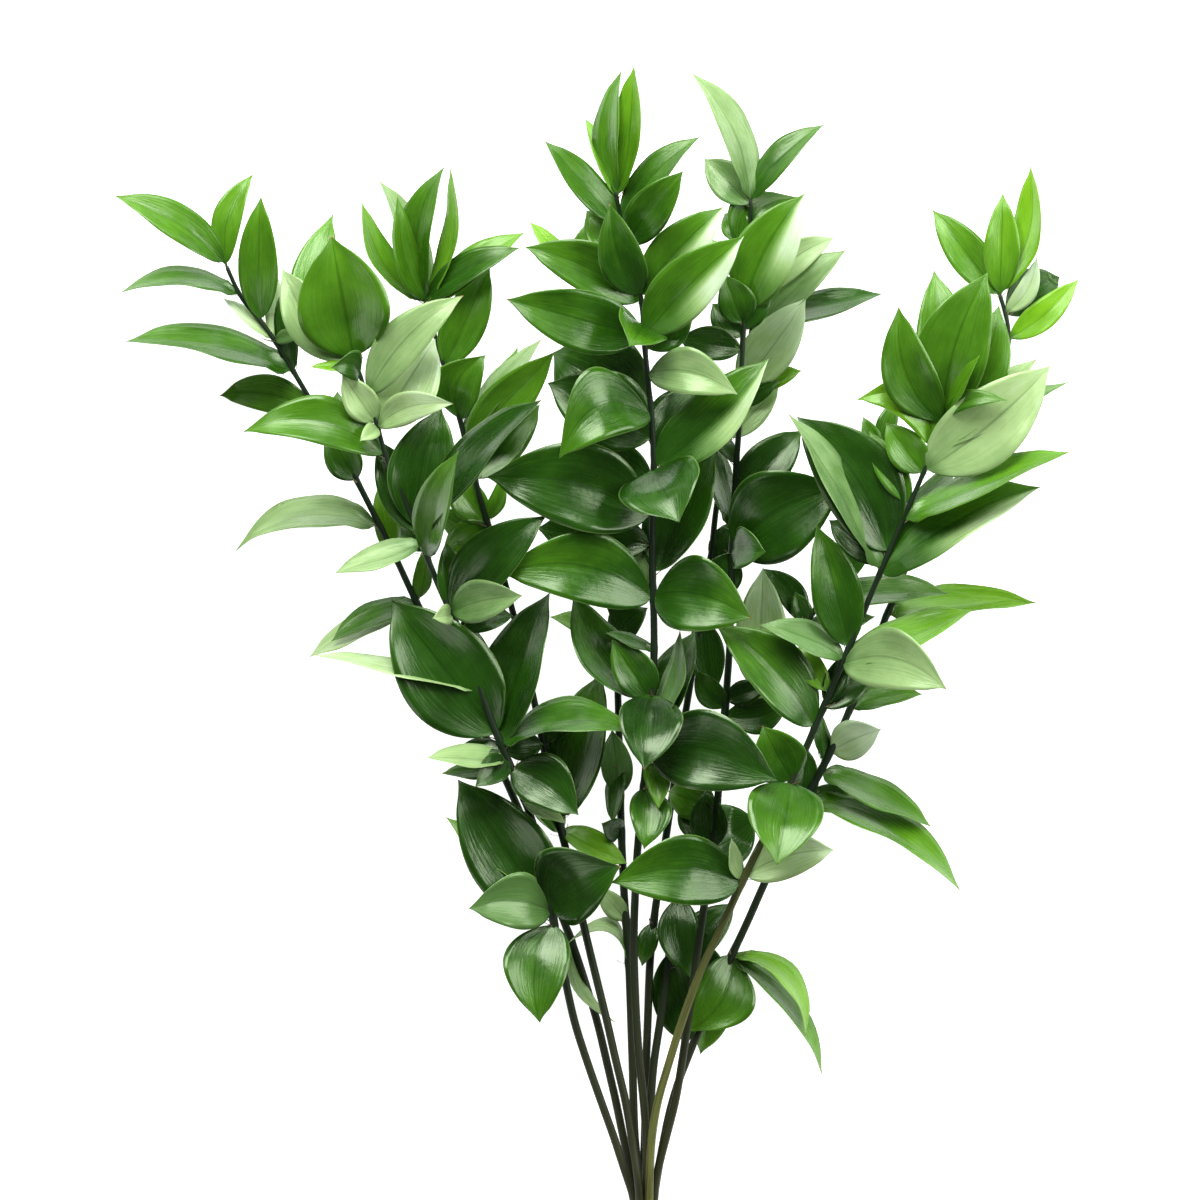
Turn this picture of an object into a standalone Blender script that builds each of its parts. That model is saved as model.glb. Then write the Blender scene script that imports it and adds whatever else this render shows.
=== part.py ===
"""A tied bunch of ten leafy ruscus stems, lying on its back."""

import math

import bmesh
import bpy
import numpy as np
from mathutils.bvhtree import BVHTree

NAME = "ruscus_bunch"
MM = 0.001

# Stem and blade sizes, in metres
FOOT_RADIUS = 0.0021
TOP_RADIUS = 0.0010
TAPER_POWER = 2.2
BLADE_THICKNESS = 0.0008
STALK_HALF_WIDTH = 0.0007
STALK_SHARE = 0.09
FREE_STEM_GAP = 0.0010
LAYER_RISE = 0.00407
CLEARANCE = 0.0005

# Tie round the stems, in metres
TIE_HALF_LENGTH = 0.006
TIE_THICKNESS = 0.0012
TIE_STEPS = 28
TIE_CENTRE_X = 0.00235

# Heights along the bunch where the stems' places are set, in millimetres
STATIONS = [-12, 12, 22, 34, 48, 66, 90, 120, 155, 190, 230, 270, 315, 360, 400, 440, 480]

# Each stem, rearmost first: place across the tie, layer in the tie, rise of its top above the
# floor, length below the tie, and the points it passes through, in millimetres
STEMS = {
    "stem_far_right": (7.05, 0, 22, 84, [
        (8.8, 22), (12, 40), (15, 55), (20, 72), (24.4, 82), (28, 92), (38, 115), (47, 135),
        (54.2, 150), (62.8, 170), (66.6, 178), (80, 205), (92, 228), (98, 240), (107, 260),
        (116, 283), (124, 305), (130, 318), (134, 330), (150, 365), (168, 400), (180, 425),
        (186, 438), (185, 452), (180, 467)]),
    "stem_far_left": (-2.35, 0, 24, 88, [
        (-3.7, 22), (-8, 40), (-12, 60), (-16.7, 80), (-21.3, 100), (-27.5, 120), (-34, 140),
        (-46, 170), (-60, 205), (-78, 245), (-96, 282), (-113, 312), (-121, 330), (-131, 350),
        (-141, 370), (-150, 387), (-160, 403), (-171.6, 423), (-181.8, 440), (-188, 450),
        (-200, 462), (-208, 481)]),
    "stem_rear_right": (2.35, 0, 28, 80, [
        (2, 22), (2.5, 40), (3, 60), (3.2, 80), (4, 100), (5, 130), (7.5, 155), (15, 205),
        (18, 225), (27, 280), (36, 335), (38, 357), (46, 400), (55, 442), (60, 468)]),
    "stem_mid_right": (4.7, 1, 20, 90, [
        (4, 22), (4.6, 40), (5.4, 60), (7, 80), (10, 98), (17, 150), (27, 200), (40, 237),
        (56, 258), (70, 280), (84, 301), (107, 336), (117, 370), (122, 396)]),
    "stem_rear_centre": (0, 1, 38, 86, [
        (0, 22), (-2.6, 40), (-3.2, 60), (-3.7, 80), (-4.4, 100), (-5.4, 130), (-8, 165),
        (-9.5, 200), (-10, 228), (-12, 300), (-16, 360), (-22, 420), (-28, 472)]),
    "stem_front_left": (-2.35, 2, 84, 82, [
        (-6, 20), (-12.2, 40), (-19.4, 60), (-26.4, 80), (-32.9, 100), (-39.2, 130), (-43, 150),
        (-50, 188), (-53, 200), (-61, 220), (-71.6, 245), (-78, 262), (-84, 280), (-91, 300),
        (-97, 311), (-105, 330), (-112, 350), (-120, 368), (-126, 380), (-131, 400),
        (-138, 420), (-142, 432)]),
    "stem_centre_right": (7.05, 2, 70, 90, [
        (8, 22), (14, 45), (18, 60), (22, 85), (24, 100), (31, 150), (38, 200), (43, 262),
        (45, 290), (46, 340), (48, 380), (50, 405), (51, 440), (53, 470), (55, 495),
        (55, 513)]),
    "stem_front_centre": (2.35, 2, 92, 88, [
        (3.5, 26), (3.5, 40), (2, 60), (-0.3, 80), (-2, 105), (-3, 130), (-3, 150),
        (-1.5, 185), (2, 220), (5, 250), (7, 280), (7, 300), (6, 330), (6, 350), (7, 380),
        (6, 400), (4, 420), (2, 440), (1, 460), (-4, 480), (-9, 498), (-12, 512),
        (-12.3, 516)]),
    "stem_mid_left": (0, 3, 54, 84, [
        (-1, 22), (-3.7, 40), (-7, 60), (-11.9, 80), (-16.3, 100), (-21.3, 120),
        (-27.8, 147), (-33, 170), (-39.5, 197), (-48, 237), (-53, 262), (-62, 300),
        (-70, 330), (-76, 350), (-81, 366), (-85, 383), (-92, 410), (-99, 432), (-104, 450),
        (-108, 463)]),
    "stem_front_right": (4.7, 3, 90, 86, [
        (4.9, 25), (5.6, 40), (7, 50), (8.6, 60), (14.6, 80), (20, 98), (26, 115), (32, 131),
        (38, 142), (46, 160), (50.5, 170), (58, 186), (66, 200), (74, 217), (78, 227),
        (84, 241), (91, 257), (99, 277), (106, 292), (112, 308), (120, 327), (128, 346),
        (135, 362), (142, 378), (147, 392), (152, 408)]),
}

# Each leaf: height of its root on the stem, tip across and along, width as it shows from
# above, rise from root to tip, arch of the blade, sideways bow of the midrib (to the left
# of its run), all in millimetres
LEAVES = {
    "stem_front_centre": [
        (512, -4, 577, 14, 6, 4, -2), (514, -10, 575, 12, -5, 2, 5), (512, -27, 552, 10, -14, 3, -1),
        (498, -47, 540, 15, 8, 4, 0), (500, 29, 542, 14, 8, 4, 4), (488, 21, 524, 20, 14, 4, 2),
        (463, -15, 508, 21, 24, 5, 4), (480, -27, 506, 20, -12, 3, 0), (460, -57, 487, 24, 10, 5, -4),
        (463, 41, 507, 24, 6, 5, 2), (443, 51, 492, 27, 20, 6, 2), (443, -66, 461, 29, 16, 6, 0),
        (448, -5, 438, 26, 36, 4, 0), (410, -44, 436, 44, -8, 4, 0), (437, 26, 460, 22, 2, 2, 0),
        (392, -46, 420, 36, -16, 4, -2), (424, 48, 414, 22, 16, 8, 6), (378, 63, 432, 27, 14, 6, -3),
        (385, 30, 418, 28, -14, 4, 0), (370, -34, 388, 24, -14, 4, 0), (404, -40, 382, 34, 22, 12, -16),
        (354, -76, 373, 41, 10, 8, -7), (340, -52, 348, 26, -16, 4, 0), (377, 19, 351, 40, 30, 6, 0),
        (325, 36, 392, 28, -14, 5, 0), (312, -70, 325, 34, 16, 8, -11), (318, -36, 351, 30, -8, 4, 0),
        (314, 55, 303, 36, 22, 8, 6), (263, -33, 315, 24, -10, 3, 6), (262, -14, 292, 20, 8, 3, 0),
        (250, 19, 297, 10, 8, 2, -6), (245, 27, 297, 20, -8, 4, 0), (265, 2, 228, 30, 22, 6, 0),
        (238, 68, 222, 38, 24, 8, 7), (218, 2, 188, 20, 14, 4, 3), (231, 9, 208, 12, 12, 2, 3),
        (287, -17, 296, 6, 4, 2, 0)],
    "stem_front_left": [
        (432, -153, 492, 43, 14, 6, 0), (430, -178, 477, 24, -6, 4, 5),
        (430, -153, 505, 26, -10, 4, 14), (424, -153, 427, 14, 16, 3, -4), (428, -164, 428, 5, 4, 2, 0),
        (413, -88, 463, 21, 14, 6, 6), (397, -102, 442, 30, 4, 6, 0), (400, -148, 424, 16, 6, 3, 0),
        (398, -93, 409, 15, 22, 4, 5), (384, -197, 396, 23, 8, 6, -11), (336, -117, 352, 15, -8, 3, 0),
        (345, -130, 392, 20, -6, 3, 0), (347, -99, 408, 32, -8, 5, 4), (345, -50, 412, 18, 20, 6, 5),
        (333, -91, 385, 17, 24, 5, 3), (341, -152, 326, 12, 10, 4, 1), (308, -97, 341, 14, 4, 3, -2),
        (306, -47, 354, 26, 12, 6, 4), (306, -59, 314, 20, 18, 3, 2), (305, -103, 303, 10, 14, 2, 0),
        (244, -124, 312, 46, 6, 6, 0), (245, -85, 300, 20, -12, 4, 0), (267, -163, 286, 8, 8, 4, -1),
        (240, -46, 316, 27, -8, 5, 4), (240, -1, 246, 16, 16, 5, 10), (233, -106, 234, 11, 18, 3, 0),
        (238, -90, 239, 8, -4, 2, 0), (238, -48, 240, 14, -6, 2, 0), (231, -99, 226, 9, 6, 2, 2),
        (233, -82, 219, 14, 16, 3, 0), (152, -91, 222, 40, 4, 7, 0), (165, -97, 204, 13, -10, 3, 1),
        (156, -85, 158, 27, 10, 4, -5), (150, -50, 101, 31, 14, 6, -6), (156, -10, 179, 38, 12, 7, 8),
        (228, -31, 205, 26, 16, 4, 4), (398, -139, 391, 8, 12, 2, 0), (214, -37, 201, 8, 10, 2, -1),
        (298, -63, 304, 13, 6, 3, 2)],
    "stem_front_right": [
        (402, 172, 474, 34, 14, 6, 5), (402, 146, 476, 26, -8, 4, -2), (400, 128, 457, 25, 2, 4, 8),
        (404, 178, 458, 26, -6, 4, -6), (405, 167, 433, 6, 20, 2, 0), (403, 181, 411, 9, 16, 5, 5),
        (376, 203, 428, 35, 14, 6, -3), (386, 197, 433, 15, -6, 4, 0), (385, 213, 422, 9, -10, 3, 0),
        (388, 107, 411, 24, 6, 4, -16), (375, 122, 400, 18, 4, 3, 0), (360, 114, 396, 14, -4, 3, 0),
        (327, 75, 405, 15, 16, 7, -2), (335, 78, 403, 38, 2, 5, -8), (324, 198, 369, 26, 16, 6, 6),
        (352, 212, 387, 14, -10, 4, 1), (330, 94, 352, 16, -10, 3, 0), (335, 158, 381, 14, -6, 3, 0),
        (288, 88, 349, 24, 16, 4, -1), (281, 165, 308, 17, 2, 4, 0), (280, 151, 268, 29, 12, 4, 9),
        (283, 60, 300, 14, 10, 4, -3), (248, 38, 300, 28, 8, 6, -5), (260, 104, 286, 12, -4, 2, 0),
        (258, 116, 274, 12, -8, 2, 0), (222, 61, 249, 26, 4, 3, 0), (221, 68, 181, 36, 26, 6, 0),
        (174, 97, 187, 22, 2, 3, 4), (170, -14, 171, 33, 18, 8, -8), (172, 46, 193, 7, 8, 2, 2),
        (266, 80, 292, 12, -6, 3, 2)],
    "stem_centre_right": [
        (511, 26, 575, 15, 6, 5, -7), (511, 91, 549, 13, 2, 4, 4), (509, 32, 532, 18, -6, 3, 0),
        (478, 79, 513, 26, -4, 5, 12), (491, 42, 505, 14, -6, 3, 0), (456, 82, 514, 29, 14, 7, 5),
        (450, 42, 474, 18, 6, 3, 0), (443, 36, 460, 15, -6, 2, 0), (437, 19, 442, 16, -8, 4, -1),
        (447, 65, 462, 8, 4, 2, 0), (348, 32, 398, 12, -6, 3, 0), (380, 36, 400, 8, -8, 2, 0),
        (337, 100, 368, 43, 2, 7, 6), (362, 81, 397, 22, -8, 4, 0), (338, 62, 336, 20, 6, 3, 0),
        (336, 38, 312, 18, -6, 3, 0), (258, 28, 277, 13, 4, 3, 2), (262, 64, 270, 12, 4, 2, 0),
        (254, 75, 262, 17, -4, 4, -4), (208, 14, 216, 20, -6, 3, 0), (194, 19, 208, 16, -8, 3, 0),
        (187, 33, 217, 18, -4, 3, 0)],
    "stem_mid_left": [
        (461, -98, 528, 17, 14, 5, 9), (461, -96, 528, 8, 8, 3, -8), (461, -130, 523, 13, -6, 3, -4),
        (461, -138, 511, 12, 2, 3, 7), (461, -120, 513, 12, 4, 4, 4), (461, -60, 488, 14, 13, 5, 4),
        (428, -75, 478, 21, 2, 4, 0), (402, -77, 434, 24, 4, 4, 8), (381, -62, 439, 15, -3, 4, -2),
        (390, -43, 435, 22, 8, 4, 0), (372, -50, 410, 20, -8, 4, 1), (350, -93, 376, 17, -8, 3, 2),
        (340, -101, 356, 16, -10, 3, 0), (350, -98, 336, 16, -8, 3, 0), (202, -20, 276, 28, 2, 5, 0),
        (197, -6, 180, 13, -6, 3, 0), (240, -32, 263, 12, -6, 3, 0), (195, -58, 226, 14, 2, 2, 0),
        (459, -58, 496, 15, 3, 5, 2), (352, -69, 374, 8, 2, 2, -2), (395, -50, 443, 12, -8, 3, 0)],
    "stem_rear_centre": [
        (470, -55, 502, 10, -6, 3, 0), (470, -25, 502, 18, 4, 3, 0), (290, -45, 304, 11, -4, 3, -2),
        (290, 4, 308, 16, 4, 3, 4), (214, -14, 247, 15, 4, 3, 0), (228, -14, 200, 9, 6, 3, 0),
        (195, -19, 200, 12, 4, 1, 0), (151, -21, 168, 11, 4, 2, 0), (130, -36, 140, 7, 6, 3, -14),
        (300, -3, 322, 12, -4, 3, 3)],
    "stem_mid_right": [
        (312, 155, 316, 14, 2, 3, 2), (300, 78, 316, 10, 2, 2, 0), (300, 62, 328, 13, -4, 2, -3),
        (265, 62, 328, 25, 0, 3, 0), (255, 75, 263, 10, 2, 2, 0), (318, 118, 350, 14, 2, 2, 0),
        (296, 118, 304, 12, 2, 2, 0), (390, 128, 412, 10, 0, 2, 0), (385, 112, 404, 9, 2, 2, 0),
        (163, 26, 122, 20, 10, 4, -3), (185, 58, 203, 30, -4, 4, -2), (128, 48, 160, 20, -3, 3, 0),
        (136, 24, 88, 26, 8, 5, 1)],
    "stem_rear_right": [
        (465, 98, 494, 16, -4, 3, 4), (447, 103, 488, 17, 0, 3, 2), (452, 122, 467, 14, -8, 3, 0),
        (418, 83, 463, 24, 2, 4, -1), (393, 70, 420, 14, -4, 3, 0), (421, 81, 427, 12, 2, 2, 0),
        (303, 36, 263, 17, -4, 3, 0), (332, 50, 352, 12, -4, 2, 0), (150, 1, 128, 10, 2, 3, 0),
        (410, 70, 422, 9, 4, 2, 0), (465, 33, 495, 9, -6, 2, 0), (466, 48, 490, 8, -2, 2, 0)],
    "stem_far_left": [
        (481, -263, 515, 17, 8, 4, -5), (480, -194, 526, 14, -2, 3, 6), (452, -190, 514, 19, 14, 4, 1),
        (466, -261, 467, 10, 0, 4, -7), (427, -258, 443, 15, 6, 5, -6), (443, -209, 464, 7, -6, 2, 0),
        (443, -182, 474, 9, -6, 2, 0), (427, -180, 468, 11, 2, 3, 0), (442, -167, 446, 7, 8, 2, 1),
        (406, -212, 415, 18, -27, 4, -5), (372, -157, 397, 17, 6, 3, 0),
        (350, -205, 337, 15, -22, 5, -12), (334, -131, 371, 13, -6, 3, 0),
        (312, -110, 336, 9, 2, 2, -3), (311, -167, 284, 13, -4, 3, -1), (311, -155, 292, 12, 6, 3, -2),
        (388, -152, 417, 12, -6, 2, 0), (142, -11, 100, 6, 6, 3, -9)],
    "stem_far_right": [
        (465, 147, 508, 19, -4, 4, 0), (465, 182, 516, 17, 0, 4, 0), (466, 195, 530, 14, 4, 3, -7),
        (456, 199, 484, 10, 6, 3, -4), (455, 212, 475, 20, -26, 3, 3), (443, 220, 473, 14, 4, 3, -2),
        (231, 88, 258, 8, 4, 2, 0), (236, 121, 247, 19, 2, 3, 1), (208, 84, 238, 14, -2, 2, 0),
        (258, 142, 265, 12, -2, 2, 3), (305, 200, 312, 14, -20, 4, 2), (226, 147, 199, 14, 0, 4, 1),
        (212, 162, 167, 15, 6, 5, 9), (134, 24, 95, 29, 4, 5, 7), (118, 29, 141, 14, -3, 2, 0),
        (125, 31, 83, 17, -2, 3, 0), (134, 84, 93, 10, 2, 3, 13), (132, 93, 73, 9, -2, 3, 8),
        (216, 117, 207, 13, -4, 3, 0)],
}

# Length to width of a young leaf at a stem's top and of an old one near its foot
OLD_RATIO = 2.2
YOUNG_RATIO = 3.4
SHORTEST_RATIO = 1.5
STEEPEST_ROLL = math.radians(60)
MOST_HIDDEN_RISE = 0.030
BROAD_WIDTH = 20
SMALL_WIDTH = 13
SMALL_LENGTH = 0.026
BROAD_ROWS = [0.0, 0.085, 0.25, 0.5, 0.77, 1.0]
PLAIN_ROWS = [0.0, 0.09, 0.3, 0.66, 1.0]
SMALL_ROWS = [0.0, 0.12, 0.52, 1.0]
RISE_STEP = 0.003
RISE_TRIES = 27


def clear_objects():
    for item in list(bpy.data.objects):
        bpy.data.objects.remove(item, do_unlink=True)
    for group in list(bpy.data.collections):
        bpy.data.collections.remove(group)


def stem_radius(length_along, top):
    """Radius of a stem at a height along the bunch, thinning mostly in its upper part."""
    share = np.clip((length_along - 20.0) / (top - 20.0), 0.0, 1.0) ** TAPER_POWER
    return FOOT_RADIUS + (TOP_RADIUS - FOOT_RADIUS) * share


def place_across(name, height):
    """Place of a stem across the bunch at a height, splayed below the tie."""
    across, _, _, _, points = STEMS[name]
    middle = TIE_CENTRE_X / MM
    splay = 1.0 + 0.8 * max(0.0, -12.0 - height) / 76.0
    knots = [(middle + (across - middle) * splay, min(height, 11.0) - 1.0), (across, 12.0)] + points
    return float(np.interp(height, [knot[1] for knot in knots], [knot[0] for knot in knots])) * MM


def closest_pass(name, other, height):
    """How near two stems come across the bunch, half a station either side of a height."""
    below = max([station for station in STATIONS if station < height])
    above = min([station for station in STATIONS if station > height], default=height)
    near = (0.5 * (below + height), height, 0.5 * (height + above))
    offsets = [place_across(name, h) - place_across(other, h) for h in near]
    if min(offsets) < 0.0 < max(offsets):
        return 0.0
    return min(abs(offset) for offset in offsets)


def stem_paths():
    """Centre lines of all stems: each lies on those behind it wherever they cross."""
    rows = {name: [] for name in STEMS}
    lowest = TIE_THICKNESS + 0.0003 + FOOT_RADIUS
    ends = {name: (-below, points[-1][1]) for name, (_, _, _, below, points) in STEMS.items()}
    for height in sorted(set(STATIONS) | {end for pair in ends.values() for end in pair}):
        laid = []
        for name, (foot, top) in ends.items():
            if not foot <= height <= top + 20:
                continue
            _, layer, rise, _, _ = STEMS[name]
            radius = float(stem_radius(height, top))
            share = max(0.0, (height - 12.0) / (top - 12.0))
            z = lowest + layer * LAYER_RISE
            z += (rise * MM - z) * share
            for other, other_z, other_radius in laid:
                reach = radius + other_radius + FREE_STEM_GAP
                if height > 12 and closest_pass(name, other, height) < reach:
                    offset = closest_pass(name, other, height)
                    z = max(z, other_z + math.sqrt(reach * reach - offset * offset))
            laid.append((name, z, radius))
            if height in (foot, top) or height in STATIONS and foot + 8 < height < top - 8:
                rows[name].append((place_across(name, height), height * MM, z, radius))
    return {name: np.array(found) for name, found in rows.items()}


def point_on_stem(path, height):
    """Point on a stem's centre line and the direction the stem runs there."""
    y = height * MM
    point = np.array([np.interp(y, path[:, 1], path[:, 0]), y, np.interp(y, path[:, 1], path[:, 2])])
    after = np.array([np.interp(y + 0.004, path[:, 1], path[:, 0]), y + 0.004,
                      np.interp(y + 0.004, path[:, 1], path[:, 2])])
    before = np.array([np.interp(y - 0.004, path[:, 1], path[:, 0]), y - 0.004,
                       np.interp(y - 0.004, path[:, 1], path[:, 2])])
    run = after - before
    return point, run / np.linalg.norm(run)


def leaf_rise(path, leaf):
    """Rise of a leaf's tip: more where the blade shows shorter than it is wide."""
    height, tip_x, tip_y, width, rise = leaf[:5]
    root, _ = point_on_stem(path, height)
    flat = math.hypot(tip_x * MM - root[0], tip_y * MM - root[1])
    full = SHORTEST_RATIO * width * MM
    hidden = math.sqrt(max(0.0, full * full - flat * flat))
    size = max(abs(rise) * MM, min(MOST_HIDDEN_RISE, hidden))
    return math.copysign(size, rise)


def leaf_points(path, leaf, rise, t, v):
    """Points of a leaf's middle surface; t runs root to tip, v from edge to edge (-1 to 1)."""
    height, tip_x, tip_y, width, _, arch, bow = leaf
    root, run = point_on_stem(path, height)
    share = np.clip((height * MM - 0.05) / (path[-1, 1] - 0.05), 0.0, 1.0)
    flat = math.hypot(tip_x * MM - root[0], tip_y * MM - root[1])
    ratio = OLD_RATIO + (YOUNG_RATIO - OLD_RATIO) * share ** 3
    roll = math.acos(min(1.0, max(math.cos(STEEPEST_ROLL), width * MM * ratio / flat)))
    true_width = width * MM / math.cos(roll)
    chord = np.array([tip_x * MM, tip_y * MM, root[2] + rise]) - root
    length = np.linalg.norm(chord)
    along = chord / length
    side = np.cross([0.0, 0.0, 1.0], along)
    side = side / np.linalg.norm(side)
    up = np.cross(along, side)
    lean = 1.0 if np.dot(run, side) >= 0.0 else -1.0
    turn = roll * lean * np.clip(t / 0.15, 0.0, 1.0)
    hump = 4.0 * t * (1.0 - t)
    blade = np.clip((t - STALK_SHARE) / (1.0 - STALK_SHARE), 0.0, 1.0)
    half = 0.52 * true_width * np.abs(np.sin(math.pi * blade ** 0.85)) ** 0.62
    half = np.maximum(half, STALK_HALF_WIDTH * (1.0 - t))
    centre = (root + np.multiply.outer(t, along) * length
              + np.multiply.outer(hump, up) * arch * MM + np.multiply.outer(hump, side) * bow * MM)
    across = np.multiply.outer(np.cos(turn), side) - np.multiply.outer(np.sin(turn), up)
    facing = np.multiply.outer(np.cos(turn), up) + np.multiply.outer(np.sin(turn), side)
    wave = 0.10 * np.sin(2.0 * math.pi * 1.4 * t + 0.7 * height + 0.3 * tip_x)
    fold = (0.26 + wave) * half * (np.abs(v) ** 1.6 - 0.45)
    points = centre + across * (half * v)[:, None] + facing * fold[:, None]
    points[:, 2] = np.maximum(points[:, 2], 0.5 * BLADE_THICKNESS)
    return points


def leaf_grid(path, leaf, rise):
    """Open blade, two or three points across and pointed at the tip, split into triangles."""
    height, tip_x, tip_y, width = leaf[:4]
    root, _ = point_on_stem(path, height)
    flat = math.hypot(tip_x * MM - root[0], tip_y * MM - root[1])
    small = width < SMALL_WIDTH or flat < SMALL_LENGTH
    rows = SMALL_ROWS if small else BROAD_ROWS if width >= BROAD_WIDTH else PLAIN_ROWS
    grid = bmesh.new()
    bmesh.ops.create_grid(grid, x_segments=1 if small else 2, y_segments=len(rows) - 1, size=1.0)
    v = np.array([vertex.co.x for vertex in grid.verts])
    place = np.array([vertex.co.y for vertex in grid.verts]) * 0.5 + 0.5
    t = np.interp(place * (len(rows) - 1), range(len(rows)), rows)
    points = leaf_points(path, leaf, rise, t, v)
    for vertex, point in zip(grid.verts, points):
        vertex.co = point
    bmesh.ops.remove_doubles(grid, verts=grid.verts, dist=0.00002)
    bmesh.ops.triangulate(grid, faces=grid.faces, quad_method="FIXED")
    bmesh.ops.recalc_face_normals(grid, faces=grid.faces)
    return grid


def swept_space(grid, reach):
    """Closed space within reach of an open blade, as points and faces."""
    grid.normal_update()
    middle = np.array([vertex.co for vertex in grid.verts])
    normals = np.array([vertex.normal for vertex in grid.verts])
    spread = middle.copy()
    for vertex in grid.verts:
        if vertex.is_boundary:
            inner = np.mean([middle[edge.other_vert(vertex).index] for edge in vertex.link_edges], axis=0)
            away = middle[vertex.index] - inner
            spread[vertex.index] += away / np.linalg.norm(away) * (reach - 0.5 * BLADE_THICKNESS)
    count = len(middle)
    points = np.vstack([spread + normals * reach, spread - normals * reach])
    faces = []
    for face in grid.faces:
        corners = [vertex.index for vertex in face.verts]
        faces.append(corners)
        faces.append([index + count for index in reversed(corners)])
    for edge in grid.edges:
        if edge.is_boundary:
            a, b = (vertex.index for vertex in edge.verts)
            faces.append([a, b, b + count, a + count])
    return points, faces


class Space:
    """Closed faces that can be tested for meeting other closed faces."""

    def __init__(self, points, faces):
        self.low = points.min(axis=0)
        self.high = points.max(axis=0)
        self.tree = BVHTree.FromPolygons([tuple(point) for point in points], faces)

    def meets(self, other):
        if np.any(self.low > other.high) or np.any(other.low > self.high):
            return False
        return bool(self.tree.overlap(other.tree))


def new_material(name, colour, roughness):
    material = bpy.data.materials.new(name)
    material.use_nodes = True
    shader = material.node_tree.nodes["Principled BSDF"]
    shader.inputs["Base Color"].default_value = (*colour, 1.0)
    shader.inputs["Roughness"].default_value = roughness
    material.diffuse_color = (*colour, 1.0)
    return material


def new_object(name, mesh, group, material=None):
    made = bpy.data.objects.new(name, mesh)
    group.objects.link(made)
    if material:
        mesh.materials.clear()
        mesh.materials.append(material)
    return made


def stem_object(name, path, group, material):
    """Round tapering stem through its centre line, with plain ends."""
    curve = bpy.data.curves.new(name, "CURVE")
    curve.dimensions = "3D"
    curve.bevel_depth = 1.0
    curve.bevel_resolution = 1
    curve.use_fill_caps = True
    spline = curve.splines.new("POLY")
    spline.points.add(len(path) - 1)
    for point, (x, y, z, radius) in zip(spline.points, path):
        point.co = (x, y, z, 1.0)
        point.radius = radius
    guide = bpy.data.objects.new(name + "_line", curve)
    group.objects.link(guide)
    mesh = bpy.data.meshes.new_from_object(guide.evaluated_get(bpy.context.evaluated_depsgraph_get()))
    bpy.data.objects.remove(guide, do_unlink=True)
    body = bmesh.new()
    body.from_mesh(mesh)
    bmesh.ops.remove_doubles(body, verts=body.verts, dist=0.00001)
    bmesh.ops.triangulate(body, faces=body.faces)
    bmesh.ops.recalc_face_normals(body, faces=body.faces)
    body.to_mesh(mesh)
    body.free()
    return new_object(name, mesh, group, material)


def leaf_object(name, grid, group):
    """The open blade given its thickness."""
    mesh = bpy.data.meshes.new(name)
    grid.to_mesh(mesh)
    blade = new_object(name, mesh, group)
    blade.hide_render = True
    blade.display_type = "WIRE"
    shell = blade.modifiers.new("thickness", "SOLIDIFY")
    shell.thickness = BLADE_THICKNESS
    shell.offset = 0.0
    return blade


def apply_modifiers(item):
    mesh = bpy.data.meshes.new_from_object(item.evaluated_get(bpy.context.evaluated_depsgraph_get()))
    item.modifiers.clear()
    item.data = mesh


def tidy_body(item):
    """Weld, keep the largest closed piece, stand it on the floor and shade it."""
    body = bmesh.new()
    body.from_mesh(item.data)
    bmesh.ops.remove_doubles(body, verts=body.verts, dist=0.000001)
    pieces = []
    waiting = set(body.verts)
    while waiting:
        piece = set()
        front = [next(iter(waiting))]
        while front:
            vertex = front.pop()
            if vertex in piece:
                continue
            piece.add(vertex)
            front += [edge.other_vert(vertex) for edge in vertex.link_edges]
        waiting -= piece
        pieces.append(piece)
    pieces.sort(key=len)
    for piece in pieces[:-1]:
        bmesh.ops.delete(body, geom=list(piece), context="VERTS")
    for vertex in body.verts:
        vertex.co.z = max(vertex.co.z, 0.0)
    body.to_mesh(item.data)
    body.free()
    item.data.shade_smooth()
    item.data.set_sharp_from_angle(angle=math.radians(38))


def leafy_stem(name, path, grids, group, blades, material):
    """One stem with all its leaves fused to it."""
    stem = stem_object(name, path, group, material)
    made = [leaf_object(name + "_leaf", grid, blades) for grid in grids]
    for blade in made:
        apply_modifiers(blade)
    union = stem.modifiers.new("leaves", "BOOLEAN")
    union.operation = "UNION"
    union.operand_type = "COLLECTION"
    union.collection = blades
    union.solver = "EXACT"
    apply_modifiers(stem)
    for blade in made:
        bpy.data.objects.remove(blade, do_unlink=True)
    tidy_body(stem)
    return stem


def place_leaves(paths, spaces):
    """Grid of every leaf, raised or lowered until it is clear of the other stems and leaves."""
    grids = {name: [] for name in LEAVES}
    laid = []
    offsets = [0] + [sign * step for step in range(1, RISE_TRIES // 2 + 1) for sign in (1, -1)]
    for name in STEMS:
        path = paths[name]
        others = [space for other, space in spaces.items() if other != name]
        for leaf in LEAVES[name]:
            wished = leaf_rise(path, leaf)
            for strict in (True, False):
                for offset in offsets:
                    grid = leaf_grid(path, leaf, wished + offset * RISE_STEP)
                    room = Space(*swept_space(grid, 0.5 * BLADE_THICKNESS + CLEARANCE))
                    clear = not any(room.meets(space) for space in others)
                    if clear:
                        clear = not any(room.meets(space) for owner, space, _ in laid if owner != name)
                    if clear and strict:
                        outer = outer_space(grid, 0.5 * BLADE_THICKNESS + 0.0002)
                        clear = not any(outer.meets(space) for owner, _, space in laid if owner == name)
                    if clear:
                        break
                    grid.free()
                if clear:
                    break
            if not clear:
                continue
            solid = Space(*swept_space(grid, 0.5 * BLADE_THICKNESS))
            laid.append((name, solid, outer_space(grid, 0.5 * BLADE_THICKNESS)))
            grids[name].append(grid)
    return grids


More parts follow.
